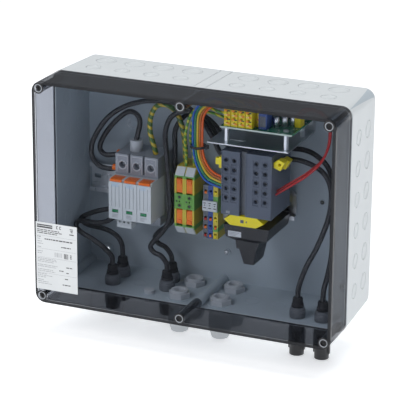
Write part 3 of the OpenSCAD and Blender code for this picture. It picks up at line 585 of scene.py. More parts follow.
class Piece:
    """Collects the faces of one named object, in millimetres."""

    def __init__(self, name: str, *finishes: Material) -> None:
        """Start an empty piece.

        Args:
            name: the piece's name.
            finishes: its materials, which its shapes name by place.
        """
        self.name = name
        self.finishes = finishes
        self.mesh = bmesh.new()

    def _paint(self, faces: list[bmesh.types.BMFace], finish: int) -> None:
        """Give faces one of the piece's finishes."""
        for face in faces:
            face.material_index = finish

    def block(self, low: Point, high: Point, edge: float = 0.0, finish: int = 0) -> None:
        """Add a box between two corners.

        Args:
            low: one corner.
            high: the opposite corner.
            edge: how much its edges are rounded.
            finish: which finish it has.
        """
        part = bmesh.new()
        bmesh.ops.create_cube(part, size=1.0)
        a, b = Vector(low), Vector(high)
        size = b - a
        bmesh.ops.scale(part, vec=size, verts=part.verts)
        bmesh.ops.translate(part, vec=(a + b) / 2, verts=part.verts)
        if edge:
            bmesh.ops.bevel(part, geom=part.edges[:], offset=edge, segments=2, profile=0.5, affect="EDGES")
        self._join(part, finish)

    def _join(self, part: bmesh.types.BMesh, finish: int) -> None:
        """Move a finished shape into the piece.

        Args:
            part: the shape, which is freed.
            finish: which finish it has.
        """
        copies = {v: self.mesh.verts.new(v.co) for v in part.verts}
        self._paint([self.mesh.faces.new([copies[v] for v in f.verts]) for f in part.faces], finish)
        part.free()

    def _rings(self, rings: list[list[bmesh.types.BMVert]], closed: bool, finish: int) -> None:
        """Skin a row of rings; a ring of one point is a pole.

        Args:
            rings: the rings in order.
            closed: whether the last ring meets the first.
            finish: which finish the skin has.
        """
        faces = []
        pairs = list(zip(rings, rings[1:])) + ([(rings[-1], rings[0])] if closed else [])
        for a, b in pairs:
            for k in range(max(len(a), len(b))):
                corners = [a[k % len(a)], a[(k + 1) % len(a)], b[(k + 1) % len(b)], b[k % len(b)]]
                faces.append(self.mesh.faces.new(list(dict.fromkeys(corners))))
        if not closed:
            faces += [self.mesh.faces.new(end) for end in (rings[0], rings[-1]) if len(end) > 2]
        self._paint(faces, finish)

    def _circle(
        self, centre: Vector, radius: float, side: Vector, other: Vector, turns: list[float]
    ) -> list[bmesh.types.BMVert]:
        """Add the points of a circle.

        Args:
            centre: its centre.
            radius: its radius.
            side: the direction of its first point.
            other: the direction a quarter turn on.
            turns: the angle of each point.

        Returns:
            The points.
        """
        return [self.mesh.verts.new(centre + radius * (math.cos(t) * side + math.sin(t) * other)) for t in turns]

    def skin(self, loops: list[list[Point]], closed: bool = False, finish: int = 0) -> None:
        """Skin a row of loops of points.

        Args:
            loops: the loops in order, each with as many points as the others.
            closed: whether the last loop meets the first.
            finish: which finish the skin has.
        """
        self._rings([[self.mesh.verts.new(point) for point in loop] for loop in loops], closed, finish)

    def cloth(self, rows: list[list[Point]], finish: int = 0) -> None:
        """Add one continuous sheet.

        Args:
            rows: the rows of its points.
            finish: which finish it has.
        """
        grid = [[self.mesh.verts.new(point) for point in row] for row in rows]
        for a, b in zip(grid, grid[1:]):
            self._paint([self.mesh.faces.new((p, q, r, t)) for p, q, r, t in zip(a, a[1:], b[1:], b)], finish)

    def turned(
        self,
        start: Point,
        axis: "Axis | Point",
        profile: Profile,
        sides: int = 28,
        finish: int = 0,
        closed: bool = False,
    ) -> None:
        """Add a turned shape.

        Args:
            start: the point that distances are measured from.
            axis: its direction.
            profile: (distance along the axis, radius) pairs.
            sides: how many facets it has round.
            finish: which finish it has.
            closed: whether the profile is a loop, as on a ring.
        """
        direction = Vector(axis.value if isinstance(axis, Axis) else axis).normalized()
        side = direction.orthogonal().normalized()
        other = direction.cross(side)
        rings = []
        for distance, radius in profile:
            centre = Vector(start) + direction * distance
            turns = [2 * math.pi * k / sides for k in range(sides if radius > 0 else 1)]
            rings.append(self._circle(centre, radius, side, other, turns))
        self._rings(rings, closed, finish)

    def hoop(
        self, start: Point, axis: "Axis | Point", radius: float, width: float, height: float, finish: int = 0
    ) -> None:
        """Add a raised ring with sloped flanks.

        Args:
            start: its centre, on the surface.
            axis: the surface's direction.
            radius: its outer radius.
            width: how wide it is.
            height: how far it stands up.
            finish: which finish it has.
        """
        flank = width * 0.25
        inner = radius - width
        outline = [(-0.15, radius), (height, radius - flank), (height, inner + flank), (-0.15, inner)]
        self.turned(start, axis, outline, 40, finish, True)

    def sweep(self, points: list[Vector], radius: float, sides: int = 16, finish: int = 0) -> None:
        """Add a tube along points.

        Args:
            points: its centre line.
            radius: its radius.
            sides: how many facets it has round.
            finish: which finish it has.
        """
        last = len(points) - 1
        side = Vector((1.0, 0.0, 0.0))
        if abs((points[1] - points[0]).normalized().x) > 0.7:
            side = Vector((0.0, 1.0, 0.0))
        rings = []
        for i, point in enumerate(points):
            ahead = (points[min(i + 1, last)] - points[max(i - 1, 0)]).normalized()
            side = (side - ahead * side.dot(ahead)).normalized()
            other = ahead.cross(side)
            turns = [2 * math.pi * k / sides for k in range(sides)]
            rings.append(self._circle(point, radius, side, other, turns))
        self._rings(rings, False, finish)

    def slab(self, outline: list[Point], depth: Point, finish: int = 0) -> None:
        """Add a flat shape with a thickness.

        Args:
            outline: the corners of one face.
            depth: the way from that face to the other.
            finish: which finish it has.
        """
        near = [self.mesh.verts.new(p) for p in outline]
        far = [self.mesh.verts.new(Vector(p) + Vector(depth)) for p in outline]
        self._rings([near, far], False, finish)

    def done(self, body: Body, slot: str, *replaced: str) -> bpy.types.Object:
        """Turn the faces into an object that rides on a body.

        Args:
            body: the body that it moves with.
            slot: the record's material slot; not used.
            replaced: the CAD nodes that it stands for.

        Returns:
            The object.
        """
        bmesh.ops.scale(self.mesh, vec=(MM, MM, MM), verts=self.mesh.verts)
        bmesh.ops.recalc_face_normals(self.mesh, faces=self.mesh.faces)
        mesh = bpy.data.meshes.new(self.name)
        self.mesh.to_mesh(mesh)
        self.mesh.free()
        for finish in self.finishes:
            mesh.materials.append(finish)
        mesh.polygons.foreach_set("use_smooth", [True] * len(mesh.polygons))
        mesh.set_sharp_from_angle(angle=math.radians(38))
        piece = bpy.data.objects.new(self.name, mesh)
        bpy.context.scene.collection.objects.link(piece)
        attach(piece, body.value)
        if replaced:
            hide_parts(*replaced)
        LOG.info("piece %s rides on %s, %d faces", self.name, body.value, len(mesh.polygons))
        return piece


@dataclass
class CadNodes:
    """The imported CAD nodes, which get finishes and softened edges."""

    nodes: dict[str, bpy.types.Object]

    def dress(self, finish: Material, edge: float, *names: str) -> None:
        """Give CAD nodes a finish and rounded edges.

        Args:
            finish: the material.
            edge: the width of the rounding, or 0 for none.
            names: the nodes.
        """
        for name in names:
            node = self.nodes[name]
            for slot in node.material_slots:
                slot.material = finish
            if edge:
                weld = node.modifiers.new("weld", "WELD")
                weld.merge_threshold = 0.004 * MM
                bevel = node.modifiers.new("edges", "BEVEL")
                bevel.width = edge * MM
                bevel.segments = 2
                bevel.limit_method = "ANGLE"
                bevel.angle_limit = math.radians(42)
                bevel.use_clamp_overlap = True
                bevel.harden_normals = True
            LOG.info("node %s dressed with %s", name, finish.name)


# ---------- the box ----------


@dataclass
class Enclosure:
    """The grey base, the smoked cover, its screws and its label."""

    finishes: Finishes
    cad: CadNodes
    half_width: float = 180.0
    half_height: float = 132.0
    base_depth: float = 84.0
    draft: float = 3.0
    wall: float = 3.5
    label_low: tuple[float, float] = (-178.0, -115.5)
    label_size: tuple[float, float] = (52.0, 81.5)
    label_front: float = -136.2

    def build(self) -> None:
        """Dress the shell and add its knock-outs, rims, screws, bag and print."""
        f = self.finishes
        self.cad.dress(f.shell, 0.0, "base_shell")
        self.cad.dress(f.smoked, 0.6, "cover")
        self.cad.dress(f.seal, 0.0, "cover_gasket")
        self.cad.dress(f.screw, 0.2, *(f"cover_screw_{k}" for k in range(1, 7)))
        self.cad.dress(f.paper, 0.0, "type_label")
        self.outer_knockouts()
        self.inner_knockouts()
        self.base_rim()
        self.screw_mouths()
        self.wall_screws()
        self.bag()
        self.label_print()

    def out_of(self, half: float, y: float) -> float:
        """How far a drafted wall lies from the middle at a depth."""
        return half - self.draft * (1 + y / self.base_depth)

    def outer_knockouts(self) -> None:
        """Raised inner rings and centre dots inside the knock-outs of the top and the sides."""
        piece = Piece("knockout_rings", self.finishes.shell)
        slope = self.draft / self.base_depth
        for side in (-1, 1):
            for k in range(4):
                for y, r in ((-22.0, 12.0), (-56.0, 9.0)):
                    spot = (side * (34 + 36 * k), y, self.out_of(self.half_height, y))
                    self.knockout(piece, spot, (0.0, slope, 1.0), r)
            for k in range(6):
                for y, r in ((-24.0, 10.0), (-58.0, 9.0)):
                    spot = (side * self.out_of(self.half_width, y), y, 90.0 - 36 * k)
                    self.knockout(piece, spot, (side, slope, 0.0), r)
        piece.done(Body.BASE, "shell_grey")

    def knockout(self, piece: Piece, spot: Point, axis: Point, radius: float) -> None:
        """Add the rings of one knock-out."""
        piece.hoop(spot, axis, radius - 2.6, 0.9, 0.3)
        piece.turned(spot, axis, [(-0.1, 1.3), (0.2, 1.1), (0.35, 0.6), (0.38, 0.0)], 16)

    def inner_knockouts(self) -> None:
        """Faint rings on the inside of the side walls and the floor."""
        piece = Piece("inner_knockout_rings", self.finishes.shell)
        slope = self.draft / self.base_depth
        for side in (-1, 1):
            for k in range(6):
                for y, r in ((-24.0, 10.0), (-58.0, 9.0)):
                    x = side * (self.out_of(self.half_width, y) - self.wall)
                    piece.hoop((x, y, 90.0 - 36 * k), (-side, -slope, 0.0), r, 0.8, 0.35)
        for x in (-150.0, -88.0, 52.0, 84.0):
            z = -(self.out_of(self.half_height, -46.0) - self.wall)
            piece.hoop((x, -46.0, z), (0.0, -slope, 1.0), 9.0, 0.8, 0.35)
        piece.done(Body.BASE, "shell_grey")

    def base_rim(self) -> None:
        """Narrow bead round the base just behind the seal, which the cover closes on."""
        piece = Piece("base_rim_bead", self.finishes.shell)
        y = -self.base_depth + 3.0
        x, z, r = self.half_width - 0.25, self.half_height - 0.25, 11.8
        corners = []
        quarters = ((x - r, z - r, 0), (-x + r, z - r, 90), (-x + r, -z + r, 180), (x - r, -z + r, 270))
        for cx, cz, start in quarters:
            for k in range(9):
                turn = math.radians(start + 90 * k / 8)
                corners.append((cx + r * math.cos(turn), cz + r * math.sin(turn)))
        rings = []
        for px, pz in corners:
            out = Vector((px, 0.0, pz)).normalized()
            spot = Vector((px, y, pz))
            offsets = ((-0.9, -0.6), (0.0, 0.22), (0.9, -0.6))
            rings.append([spot + out * rise + Vector((0.0, dy, 0.0)) for dy, rise in offsets])
        piece.skin(rings, True)
        piece.done(Body.BASE, "shell_grey")

    def screw_mouths(self) -> None:
        """Dark rings and light bushes round the mouths of the cover's screw tubes."""
        piece = Piece("cover_screw_mouths", self.finishes.screw, self.finishes.device_grey)
        for x in (-172.0, 0.0, 172.0):
            for z in (-124.0, 124.0):
                piece.hoop((x, -136.0, z), Axis.OUT, 6.4, 1.7, 0.18)
                piece.hoop((x, -136.0, z), Axis.OUT, 4.9, 1.1, 0.14, 1)
        piece.done(Body.COVER, "smoked_cover")

    def bag(self) -> None:
        """A small crumpled clear bag that is tucked in behind the surge protector's leads."""
        rows, columns = 25, 29
        piece = Piece("spare_parts_bag", self.finishes.film)
        grid = []
        for i in range(rows):
            line = []
            for j in range(columns):
                u, v = j / (columns - 1), i / (rows - 1)
                fold = 1.3 * math.sin(9.0 * u + 4.0 * v) + 0.9 * math.sin(13.0 * v - 7.0 * u)
                x = -114.0 + 20.0 * (u - 0.5) * (0.86 + 0.12 * math.sin(5.0 * v))
                z = 57.0 + 18.0 * (v - 0.5) * (0.88 + 0.1 * math.sin(6.0 * u))
                line.append((x, -9.0 + fold, z))
            grid.append(line)
        piece.cloth(grid)
        bag = piece.done(Body.BASE, "smoked_cover")

    def wall_screws(self) -> None:
        """The one screw and the one hole that show on the back wall; the hole's darkness is a black disc of painted
        shade.
        """
        piece = Piece("back_wall_screws", self.finishes.zinc, self.finishes.shell, self.finishes.black)
        head = [(-0.2, 3.2), (0.6, 3.2), (1.9, 2.2), (2.2, 0.9), (1.4, 0.8), (1.4, 0.0)]
        piece.turned((2.6, -3.3, -89.4), Axis.OUT, [(-0.3, 5.2), (0.8, 5.0), (0.8, 0.0)], 28, 1)
        piece.turned((2.6, -4.0, -89.4), Axis.OUT, head, 24)
        piece.hoop((119.2, -3.4, -11.2), Axis.OUT, 4.0, 1.4, 0.5, 1)
        # painted shade: the black disc stands for the darkness inside the hole
        piece.turned((119.2, -3.4, -11.2), Axis.OUT, [(-0.3, 2.6), (0.1, 2.6), (0.1, 0.0)], 20, 2)
        piece.done(Body.BASE, "plated_steel")

    def label_print(self) -> None:
        """Generic print of the type label: bars for lines of text, bars of different widths and frames."""
        piece = Piece("label_print", self.finishes.ink, self.finishes.pale_ink)
        left, low = self.label_low
        wide, high = self.label_size
        top = low + high
        draw = random.Random(11)

        def bar(x: float, z: float, w: float, h: float, finish: int = 0) -> None:
            """Add one printed bar, measured from the label's top left corner."""
            y = self.label_front
            piece.block((left + x, y - 0.04, top - z - h), (left + x + w, y + 0.02, top - z), 0.0, finish)

        def line(x: float, z: float, end: float, h: float, finish: int = 0) -> None:
            """Add a line of words."""
            while x < end:
                w = draw.uniform(1.4, 5.2)
                bar(x, z, min(w, end - x), h, finish)
                x += w + 0.7

        bar(1.6, 2.4, 19.5, 1.5)
        bar(1.6, 4.6, 19.5, 1.9)
        for x in (26.0, 30.0):
            bar(x, 2.2, 0.8, 3.6)
            bar(x + 0.8, 2.2, 1.4, 0.7)
            bar(x + 0.8, 5.1, 1.4, 0.7)
        for k in range(3):
            bar(43.0 + 0.6 * k, 3.4 + 1.7 * k, 4.2 - 0.8 * k, 0.9)
        bar(42.4, 9.6, 5.6, 1.2)
        for z, end in ((8.4, 30.0), (10.4, 33.0), (12.4, 27.0)):
            line(1.8, z, end, 0.95)
        line(1.8, 17.0, 6.0, 0.9)
        line(11.0, 19.0, 46.0, 1.4)
        for z, end in ((19.6, 5.6), (22.6, 7.6), (25.4, 9.0), (29.4, 7.0), (34.6, 8.4), (37.0, 7.0)):
            line(1.8, z, end, 0.8, 1)
        line(32.0, 26.4, 44.0, 1.2)
        for k in range(9):
            bar(23.6 + 1.05 * k, 34.4, draw.choice((0.3, 0.5, 0.7)), 5.4, 1)
        for k in range(6):
            bar(35.4 + 0.9 * k, 34.4, draw.choice((0.4, 0.6)), 6.2)
        for k in range(3):
            bar(43.0, 35.0 + 1.8 * k, 1.9, 1.1)
        small_print = ((43.4, 25.0), (45.2, 26.0), (47.2, 22.0), (51.0, 27.0), (53.0, 25.0), (56.6, 21.0), (58.6, 24.0))
        for z, end in small_print:
            line(1.8, z, end, 0.75, 1)
        values = ((29.0, 55.4, 35.0), (38.0, 50.4, 46.0), (38.0, 57.0, 41.0), (36.0, 64.6, 40.0), (33.0, 72.0, 43.0))
        for x, z, end in values:
            line(x, z, end, 1.1)
        for z, end in ((62.0, 14.0), (64.0, 20.0), (66.0, 12.0), (69.4, 9.0), (71.6, 15.0), (73.8, 19.0)):
            line(1.8, z, end, 0.75, 1)
        for z in (15.6, 31.6, 42.0, 61.0):
            bar(1.2, z, 49.6, 0.25, 1)
        piece.done(Body.COVER, "label_white")


@dataclass
class SurgeProtector:
    """Rail, end clamps and the three-pole surge protector with its plugs."""

    finishes: Finishes
    cad: CadNodes
    left: float = -114.0
    pole: float = 17.8
    front: float = -78.0
    plug_top: float = 8.0
    shoulder: float = -59.0
    top: float = 33.0

    def build(self) -> None:
        """Dress the nodes and add latches, windows, collars and print."""
        f = self.finishes
        self.cad.dress(f.zinc, 0.0, "din_rail", "rail_screws", "spd_terminal_screws")
        self.cad.dress(f.fitting_grey, 0.3, "end_clamps", "spd_entry_bush")
        self.cad.dress(f.device_grey, 0.3, "spd_base")
        self.cad.dress(f.device_white, 0.35, "spd_plug_1", "spd_plug_2", "spd_plug_3")
        self.cad.dress(f.device_white, 0.25, "spd_signal_plug")
        for index, body in enumerate((Body.PLUG_1, Body.PLUG_2, Body.PLUG_3)):
            self.plug_face(index, body)
        self.collars()

    def plug_face(self, index: int, body: Body) -> None:
        """Add what is on one plug: its latch, its state window and its print.

        Args:
            index: the plug's place from the left, from 0.
            body: the body that the plug is.
        """
        f = self.finishes
        x = self.left + index * self.pole + 0.2
        y = self.front
        top = self.plug_top
        latch = Piece(f"plug_{index + 1}_latch", f.orange)
        latch.block((x + 1.6, y + 0.1, top - 2.8), (x + 15.8, y + 2.4, top + 0.3), 0.35)
        latch.block((x + 1.6, y + 1.6, top - 0.3), (x + 15.8, y + 15.0, top + 0.3), 0.2)
        for k in range(5):
            edge = x + 4.2 + 2.2 * k
            latch.block((edge, y - 0.15, top - 2.4), (edge + 0.8, y + 0.4, top - 0.3), 0.12)
            latch.block((edge, y + 4.0, top), (edge + 0.8, y + 12.0, top + 0.6), 0.12)
        latch.done(body, "orange_plastic")
        window = Piece(f"plug_{index + 1}_window", f.window_green, f.dark_grey)
        window.block((x + 4.3, y + 0.35, -31.7), (x + 11.7, y + 0.8, -28.3), 0.15)
        for a, b in (((4.0, -32.0), (12.0, -31.7)), ((4.0, -28.3), (12.0, -28.0))):
            window.block((x + a[0], y + 0.1, a[1]), (x + b[0], y + 0.8, b[1]), 0.0, 1)
        window.done(body, "device_white")
        marks = Piece(f"plug_{index + 1}_print", f.pale_ink, f.blue_ink)
        draw = random.Random(20 + index)
        for k in range(3):
            width = draw.uniform(5.0, 8.0)
            marks.block((x + 4.2, y - 0.03, -34.6 - 1.6 * k), (x + 4.2 + width, y + 0.02, -33.9 - 1.6 * k))
        for k in range(3):
            width = draw.uniform(7.0, 10.5)
            low, high = 3.4 - 1.9 * k, 4.3 - 1.9 * k
            marks.block((x + 3.6, y - 0.03, low), (x + 3.6 + width, y + 0.02, high), 0.0, 1)
        marks.done(body, "device_white")

    def collars(self) -> None:
        """Light collars round the terminal screws of the socket, with their clamp cages."""
        f = self.finishes
        piece = Piece("surge_socket_collars", f.fitting_grey, f.dark_grey)
        for k in range(3):
            x = self.left + (k + 0.5) * self.pole
            z, y = self.top - 13, self.shoulder
            piece.hoop((x, y, z), Axis.OUT, 5.6, 1.5, 0.6)
            piece.hoop((x, y + 11.8, z), Axis.OUT, 3.95, 0.5, 0.3, 1)
            for side in (-1, 1):
                low, high = sorted((x + side * 6.2, x + side * 7.0))
                piece.block((low, y - 0.5, z - 8.5), (high, y + 0.2, z + 11.5), 0.15)
            piece.block((x - 6.2, y - 0.5, z + 10.6), (x + 6.2, y + 0.2, z + 11.5), 0.15)
        piece.done(Body.BASE, "light_grey_plastic")


@dataclass
class PowerTerminals:
    """The two green-yellow power terminals with their orange levers."""

    finishes: Finishes
    cad: CadNodes
    left: float = -42.0
    width: float = 12.3
    middle: float = -16.0
    front: float = -54.0
    lever: float = 7.0

    def build(self) -> None:
        """Dress the nodes and add caps, lever grips and entry rims."""
        f = self.finishes
        self.cad.dress(f.terminal, 0.3, "ground_terminals")
        self.cad.dress(f.device_white, 0.2, "terminal_markers")
        self.cad.dress(f.orange, 0.3, *(f"ground_lever_{k}" for k in range(1, 5)))
        for index, body in enumerate((Body.LEVER_1, Body.LEVER_2, Body.LEVER_3, Body.LEVER_4)):
            self.lever_grip(index, body)
        self.entries()

    def lever_grip(self, index: int, body: Body) -> None:
        """Add the ribs and the driver notch of one lever; the notch is a dark grey disc of painted shade.

        Args:
            index: the lever's place: the upper two, then the lower two.
            body: the body that the lever is.
        """
        x = self.left + (index % 2 + 0.5) * self.width
        up = 1 if index < 2 else -1
        start = self.middle + up * 12
        piece = Piece(f"lever_{index + 1}_grip", self.finishes.amber, self.finishes.dark_grey)
        for k in range(4):
            z = start + up * (3.0 + 1.7 * k)
            piece.block((x - 2.9, self.front + 0.2, z - 0.4), (x + 2.9, self.front + 1.0, z + 0.4), 0.15)
        z = start + up * 12.0
        # painted shade: the dark grey disc stands for the shade in the driver notch
        piece.turned((x, self.front - 0.5, z), Axis.OUT, [(-0.4, 1.5), (0.12, 1.4), (0.12, 0.0)], 20, 1)
        piece.done(body, "orange_plastic")

    def entries(self) -> None:
        """Add rims round the wire entries and the dark test holes between the levers; the black discs in the entries
        and the black test holes are painted shade.
        """
        f = self.finishes
        piece = Piece("terminal_entry_rims", f.terminal, f.black)
        entry = [(-0.5, 1.85), (-0.1, 1.85), (-0.1, 0.0)]
        for k in range(2):
            x = self.left + (k + 0.5) * self.width
            for up in (-1, 1):
                z = self.middle + up * 5
                piece.hoop((x, self.front, z), Axis.OUT, 3.1, 1.0, 0.35)
                # painted shade: black disc inside the wire entry
                piece.turned((x, self.front + 0.2, z), Axis.OUT, entry, 20, 1)
            # painted shade: black block for the test hole
            low, high = self.middle - 1.0, self.middle + 1.0
            piece.block((x - 4.6, self.front - 0.15, low), (x - 2.4, self.front + 0.3, high), 0.1, 1)
        piece.done(Body.BASE, "green_yellow_plastic")


@dataclass
class FeedTerminals:
    """The three slim feed-through terminals beside the power terminals."""

    finishes: Finishes
    cad: CadNodes
    left: float = -9.0
    width: float = 6.2
    front: float = -48.0

    def build(self) -> None:
        """Dress the nodes and add release buttons and marker print."""
        f = self.finishes
        self.cad.dress(f.dark_grey, 0.2, "grey_terminal")
        self.cad.dress(f.blue, 0.2, "blue_terminal")
        self.cad.dress(f.terminal, 0.2, "earth_terminal")
        buttons = Piece("release_buttons", f.orange, f.blue, f.yellow, f.red)
        tints = ((0, 3, 0, 3), (1, 0, 1, 0), (2, 2, 0, 2))
        for k in range(3):
            x = self.left + (k + 0.5) * self.width
            for z, tint in zip((-2.0, -34.0, -44.0, -54.0), tints[k]):
                low = (x - 1.35, self.front - 0.4, z - 2.2)
                buttons.block(low, (x + 1.35, self.front + 4.6, z + 0.4), 0.25, tint)
                buttons.block((x - 0.5, self.front - 0.7, z - 1.4), (x + 0.5, self.front, z - 0.6), 0.1, tint)
        buttons.done(Body.BASE, "orange_plastic")
        marks = Piece("marker_print", f.pale_ink, f.ink)
        for k in range(3):
            x = self.left + (k + 0.5) * self.width
            y = self.front - 3.0
            for z, w in ((-14.6, 1.5), (-17.2, 0.9), (-20.4, 1.7)):
                marks.block((x - w, y - 0.04, z - 0.6), (x + w, y + 0.02, z + 0.6), 0.0, 1)
            if k:
                edge = x - self.width / 2
                marks.block((edge - 0.15, y - 0.04, -23.8), (edge + 0.15, y + 0.02, -12.2))
        marks.done(Body.BASE, "device_white")


@dataclass
class SwitchUnit:
    """The motor-driven switch: contact blocks, clips, foot and drive."""

    finishes: Finishes
    cad: CadNodes
    left: float = 28.0
    right: float = 88.0
    front: float = -84.0
    top: float = 63.0
    low: float = -11.5
    columns: tuple[float, ...] = (33.3, 43.0, 69.3, 80.0)
    row_top: float = 52.0
    row_pitch: float = 11.0

    def build(self) -> None:
        """Dress the nodes and add frames, print and the drive's details."""
        f = self.finishes
        self.cad.dress(f.switch_grey, 0.35, "contact_block_left", "contact_block_right")
        self.cad.dress(f.dark_grey, 0.3, "switch_core")
        self.cad.dress(f.yellow, 0.4, "switch_clips", "switch_foot")
        self.cad.dress(f.brass, 0.0, "contact_screws", "contact_bridges")
        self.cad.dress(f.fitting_grey, 0.2, "switch_rotor")
        self.cad.dress(f.black, 1.2, "drive_housing")
        self.cad.dress(f.steel, 0.4, "drive_motor")
        self.block_frames()
        self.drive_details()

    def block_frames(self) -> None:
        """Raised frames round each pair of terminals, with ribs on top of the blocks."""
        f = self.finishes
        piece = Piece("switch_block_frames", f.switch_grey, f.black, f.pale_ink)
        y = self.front
        for column in self.columns:
            for row in range(5):
                z = self.row_top - self.row_pitch * row
                piece.hoop((column, y + 0.7, z), Axis.OUT, 3.3, 0.8, 0.45)
                # painted shade: black discs 4 mm deep in the terminal openings
                piece.turned((column, y + 4.0, z), Axis.OUT, [(-0.3, 2.25), (0.0, 2.25), (0.0, 0.0)], 18, 1)
                piece.block((column - 3.4, y - 0.25, z - 5.9), (column + 3.4, y + 0.2, z - 5.1), 0.1)
        for x in (self.left + 0.8, self.left + 20.4, 57.8, self.right - 1.6):
            piece.block((x, y - 0.3, self.low + 2), (x + 0.8, y + 0.3, self.top - 2), 0.15)
        for k in range(7):
            x = self.left + 3.0 + 8.4 * k
            piece.block((x, y + 8, self.top - 0.2), (x + 1.2, y + 50, self.top + 0.6), 0.2)
        piece.block((34.0, y - 0.08, -10.0), (38.6, y + 0.1, -7.0), 0.0, 2)
        piece.done(Body.BASE, "switch_grey")

    def drive_details(self) -> None:
        """The drive's white plate with its print, its screws and the foot's notch."""
        f = self.finishes
        plate = Piece("drive_plate", f.paper, f.pale_ink)
        left, right, top, low = 36.6, 52.4, -30.4, -37.0

        def front(z: float) -> float:
            """Depth of the housing's leaning front at the height z."""
            return -84.15 + 0.069 * (-23.5 - z)

        corners = [(x, front(z), z) for x, z in ((left, top), (right, top), (right, low), (left, low))]
        plate.slab(corners, (0.0, 0.7, 0.0))
        for k in range(3):
            z, end = top - 1.4 - 1.6 * k, right - 2.5 - 2 * k
            y, foot = front(z) - 0.05, front(z - 0.7) - 0.05
            row = [(left + 1.5, y, z), (end, y, z), (end, foot, z - 0.7), (left + 1.5, foot, z - 0.7)]
            plate.slab(row, (0.0, 0.3, 0.0), 1)
        plate.done(Body.BASE, "label_white")
        foot = Piece("foot_marks", f.dark_grey, f.yellow)
        foot.block((51.5, -84.15, -19.4), (55.5, -83.8, -15.6), 0.1)
        foot.block((58.0, -84.2, -18.6), (59.4, -83.8, -16.4), 0.1)
        rivet = [(-0.3, 1.6), (0.15, 1.5), (0.15, 0.9), (-0.1, 0.8), (-0.1, 0.0)]
        for x in (43.0, 66.0):
            foot.turned((x, -84.0, -17.5), Axis.OUT, rivet, 20, 1)
        foot.done(Body.BASE, "yellow_plastic")


@dataclass
class ControlBoard:
    """Bracket, standoffs and the control board with its parts."""

    finishes: Finishes
    cad: CadNodes
    left: float = 28.0
    width: float = 85.0
    front: float = -90.0
    top: float = 93.0

    def build(self) -> None:
        """Dress the nodes and add board parts."""
        f = self.finishes
        self.cad.dress(f.steel, 0.15, "board_bracket")
        self.cad.dress(f.zinc, 0.15, "bracket_hardware")
        self.cad.dress(f.board, 0.0, "control_board")
        self.cad.dress(f.yellow, 0.25, "board_connectors")
        self.cad.dress(f.blue, 0.3, "board_relay")
        self.cad.dress(f.can, 0.25, "board_capacitors")
        self.board_edges()
        self.connector_details()
        self.small_parts()

    def board_edges(self) -> None:
        """The bare laminate along the front edge and the bright return of the bracket's slot, whose brighter zinc
        finish is a painted highlight on the bracket's own metal.
        """
        f = self.finishes
        edge = Piece("board_front_edge", f.board_edge, f.board)
        low = (self.left, self.front - 0.25, self.top - 1.75)
        high = (self.left + self.width, self.front + 0.4, self.top + 0.12)
        edge.block(low, high, 0.12)
        edge.done(Body.BASE, "board_green")
        # painted highlight: both strips are the bracket's own metal in the brighter zinc finish
        lip = Piece("bracket_lips", f.zinc)
        lip.block((33.6, -73.4, 72.2), (50.4, -70.6, 73.5), 0.3)
        lip.block((13.2, -90.25, 71.6), (108.8, -89.7, 72.9), 0.15)
        lip.done(Body.BASE, "plated_steel")

    def connector_details(self) -> None:
        """Contacts, dark entries and ribs on the fronts of the plug-in connectors, in a staggered pattern; the amber
        patches are painted light on the lit faces and the black entries are painted shade.
        """
        f = self.finishes
        piece = Piece("connector_details", f.brass, f.black, f.yellow, f.amber)
        wide, narrow = (-88.0, 7.6), (-77.0, 4.6)
        for x, (y, w) in ((32.2, wide), (40.7, wide), (49.2, wide), (57.7, wide), (66.4, narrow)):
            half = w / 2
            for row in range(4):
                odd = row % 2
                z = self.top + 2.2 + 4.9 * row
                side = x + (0.5 if odd else half)
                start, end = (x + half, x + w - 0.5) if odd else (x + 0.5, side + 0.5)
                # painted light: amber patch for the lit face of the row
                piece.block((side, y - 0.5, z), (side + half - 0.5, y + 0.2, z + 2.4), 0.15, 3)
                # brass contacts on even rows; on odd rows black entries of painted shade
                piece.block((start, y - 0.12, z + 0.3), (end, y + 0.2, z + 1.8), 0.08, odd)
                piece.block((x + 0.2, y - 0.3, z + 3.2), (x + w - 0.2, y + 0.2, z + 4.0), 0.1, 2)
        piece.done(Body.BASE, "yellow_plastic")

    def small_parts(self) -> None:
        """Chips with their pins, resistors, capacitor tops and a thin dark grey plate."""
        f = self.finishes
        piece = Piece("board_small_parts", f.black, f.can, f.dark_grey, f.amber)
        draw = random.Random(5)
        for x, y, w, d in ((46.0, -54.0, 14.0, 10.0), (66.0, -46.0, 9.0, 9.0), (34.0, -40.0, 8.0, 5.0)):
            piece.block((x, y, self.top + 0.3), (x + w, y + d, self.top + 2.0), 0.25)
            for k in range(int(w / 1.3)):
                for side in (-0.9, d):
                    pin = x + 0.5 + 1.3 * k
                    piece.block((pin, y + side, self.top), (pin + 0.5, y + side + 0.9, self.top + 0.7), 0.0, 1)
        for _ in range(26):
            x, y = draw.uniform(34.0, 108.0), draw.uniform(-38.0, -27.0)
            piece.block((x, y, self.top), (x + 1.8, y + 1.0, self.top + 0.8), 0.1, draw.choice((0, 2, 3)))
            piece.block((x - 0.35, y, self.top), (x, y + 1.0, self.top + 0.8), 0.0, 1)
        for k in range(3):
            x, y = self.left + 58 + 7.8 * k, -68.0 + 6 * k
            for turn in (0.0, math.pi / 2):
                dx, dy = 2.6 * math.cos(turn), 2.6 * math.sin(turn)
                low = (x - dx - 0.12, y - dy - 0.12, self.top + 10.9)
                piece.block(low, (x + dx + 0.12, y + dy + 0.12, self.top + 11.06), 0.0, 2)
            piece.hoop((x, y, self.top + 1.2), Axis.UP, 3.6, 0.5, 0.5, 2)
        piece.block((72.6, -84.1, self.top + 3.0), (79.8, -83.9, self.top + 15.0), 0.08, 2)
        piece.done(Body.BASE, "black_plastic")


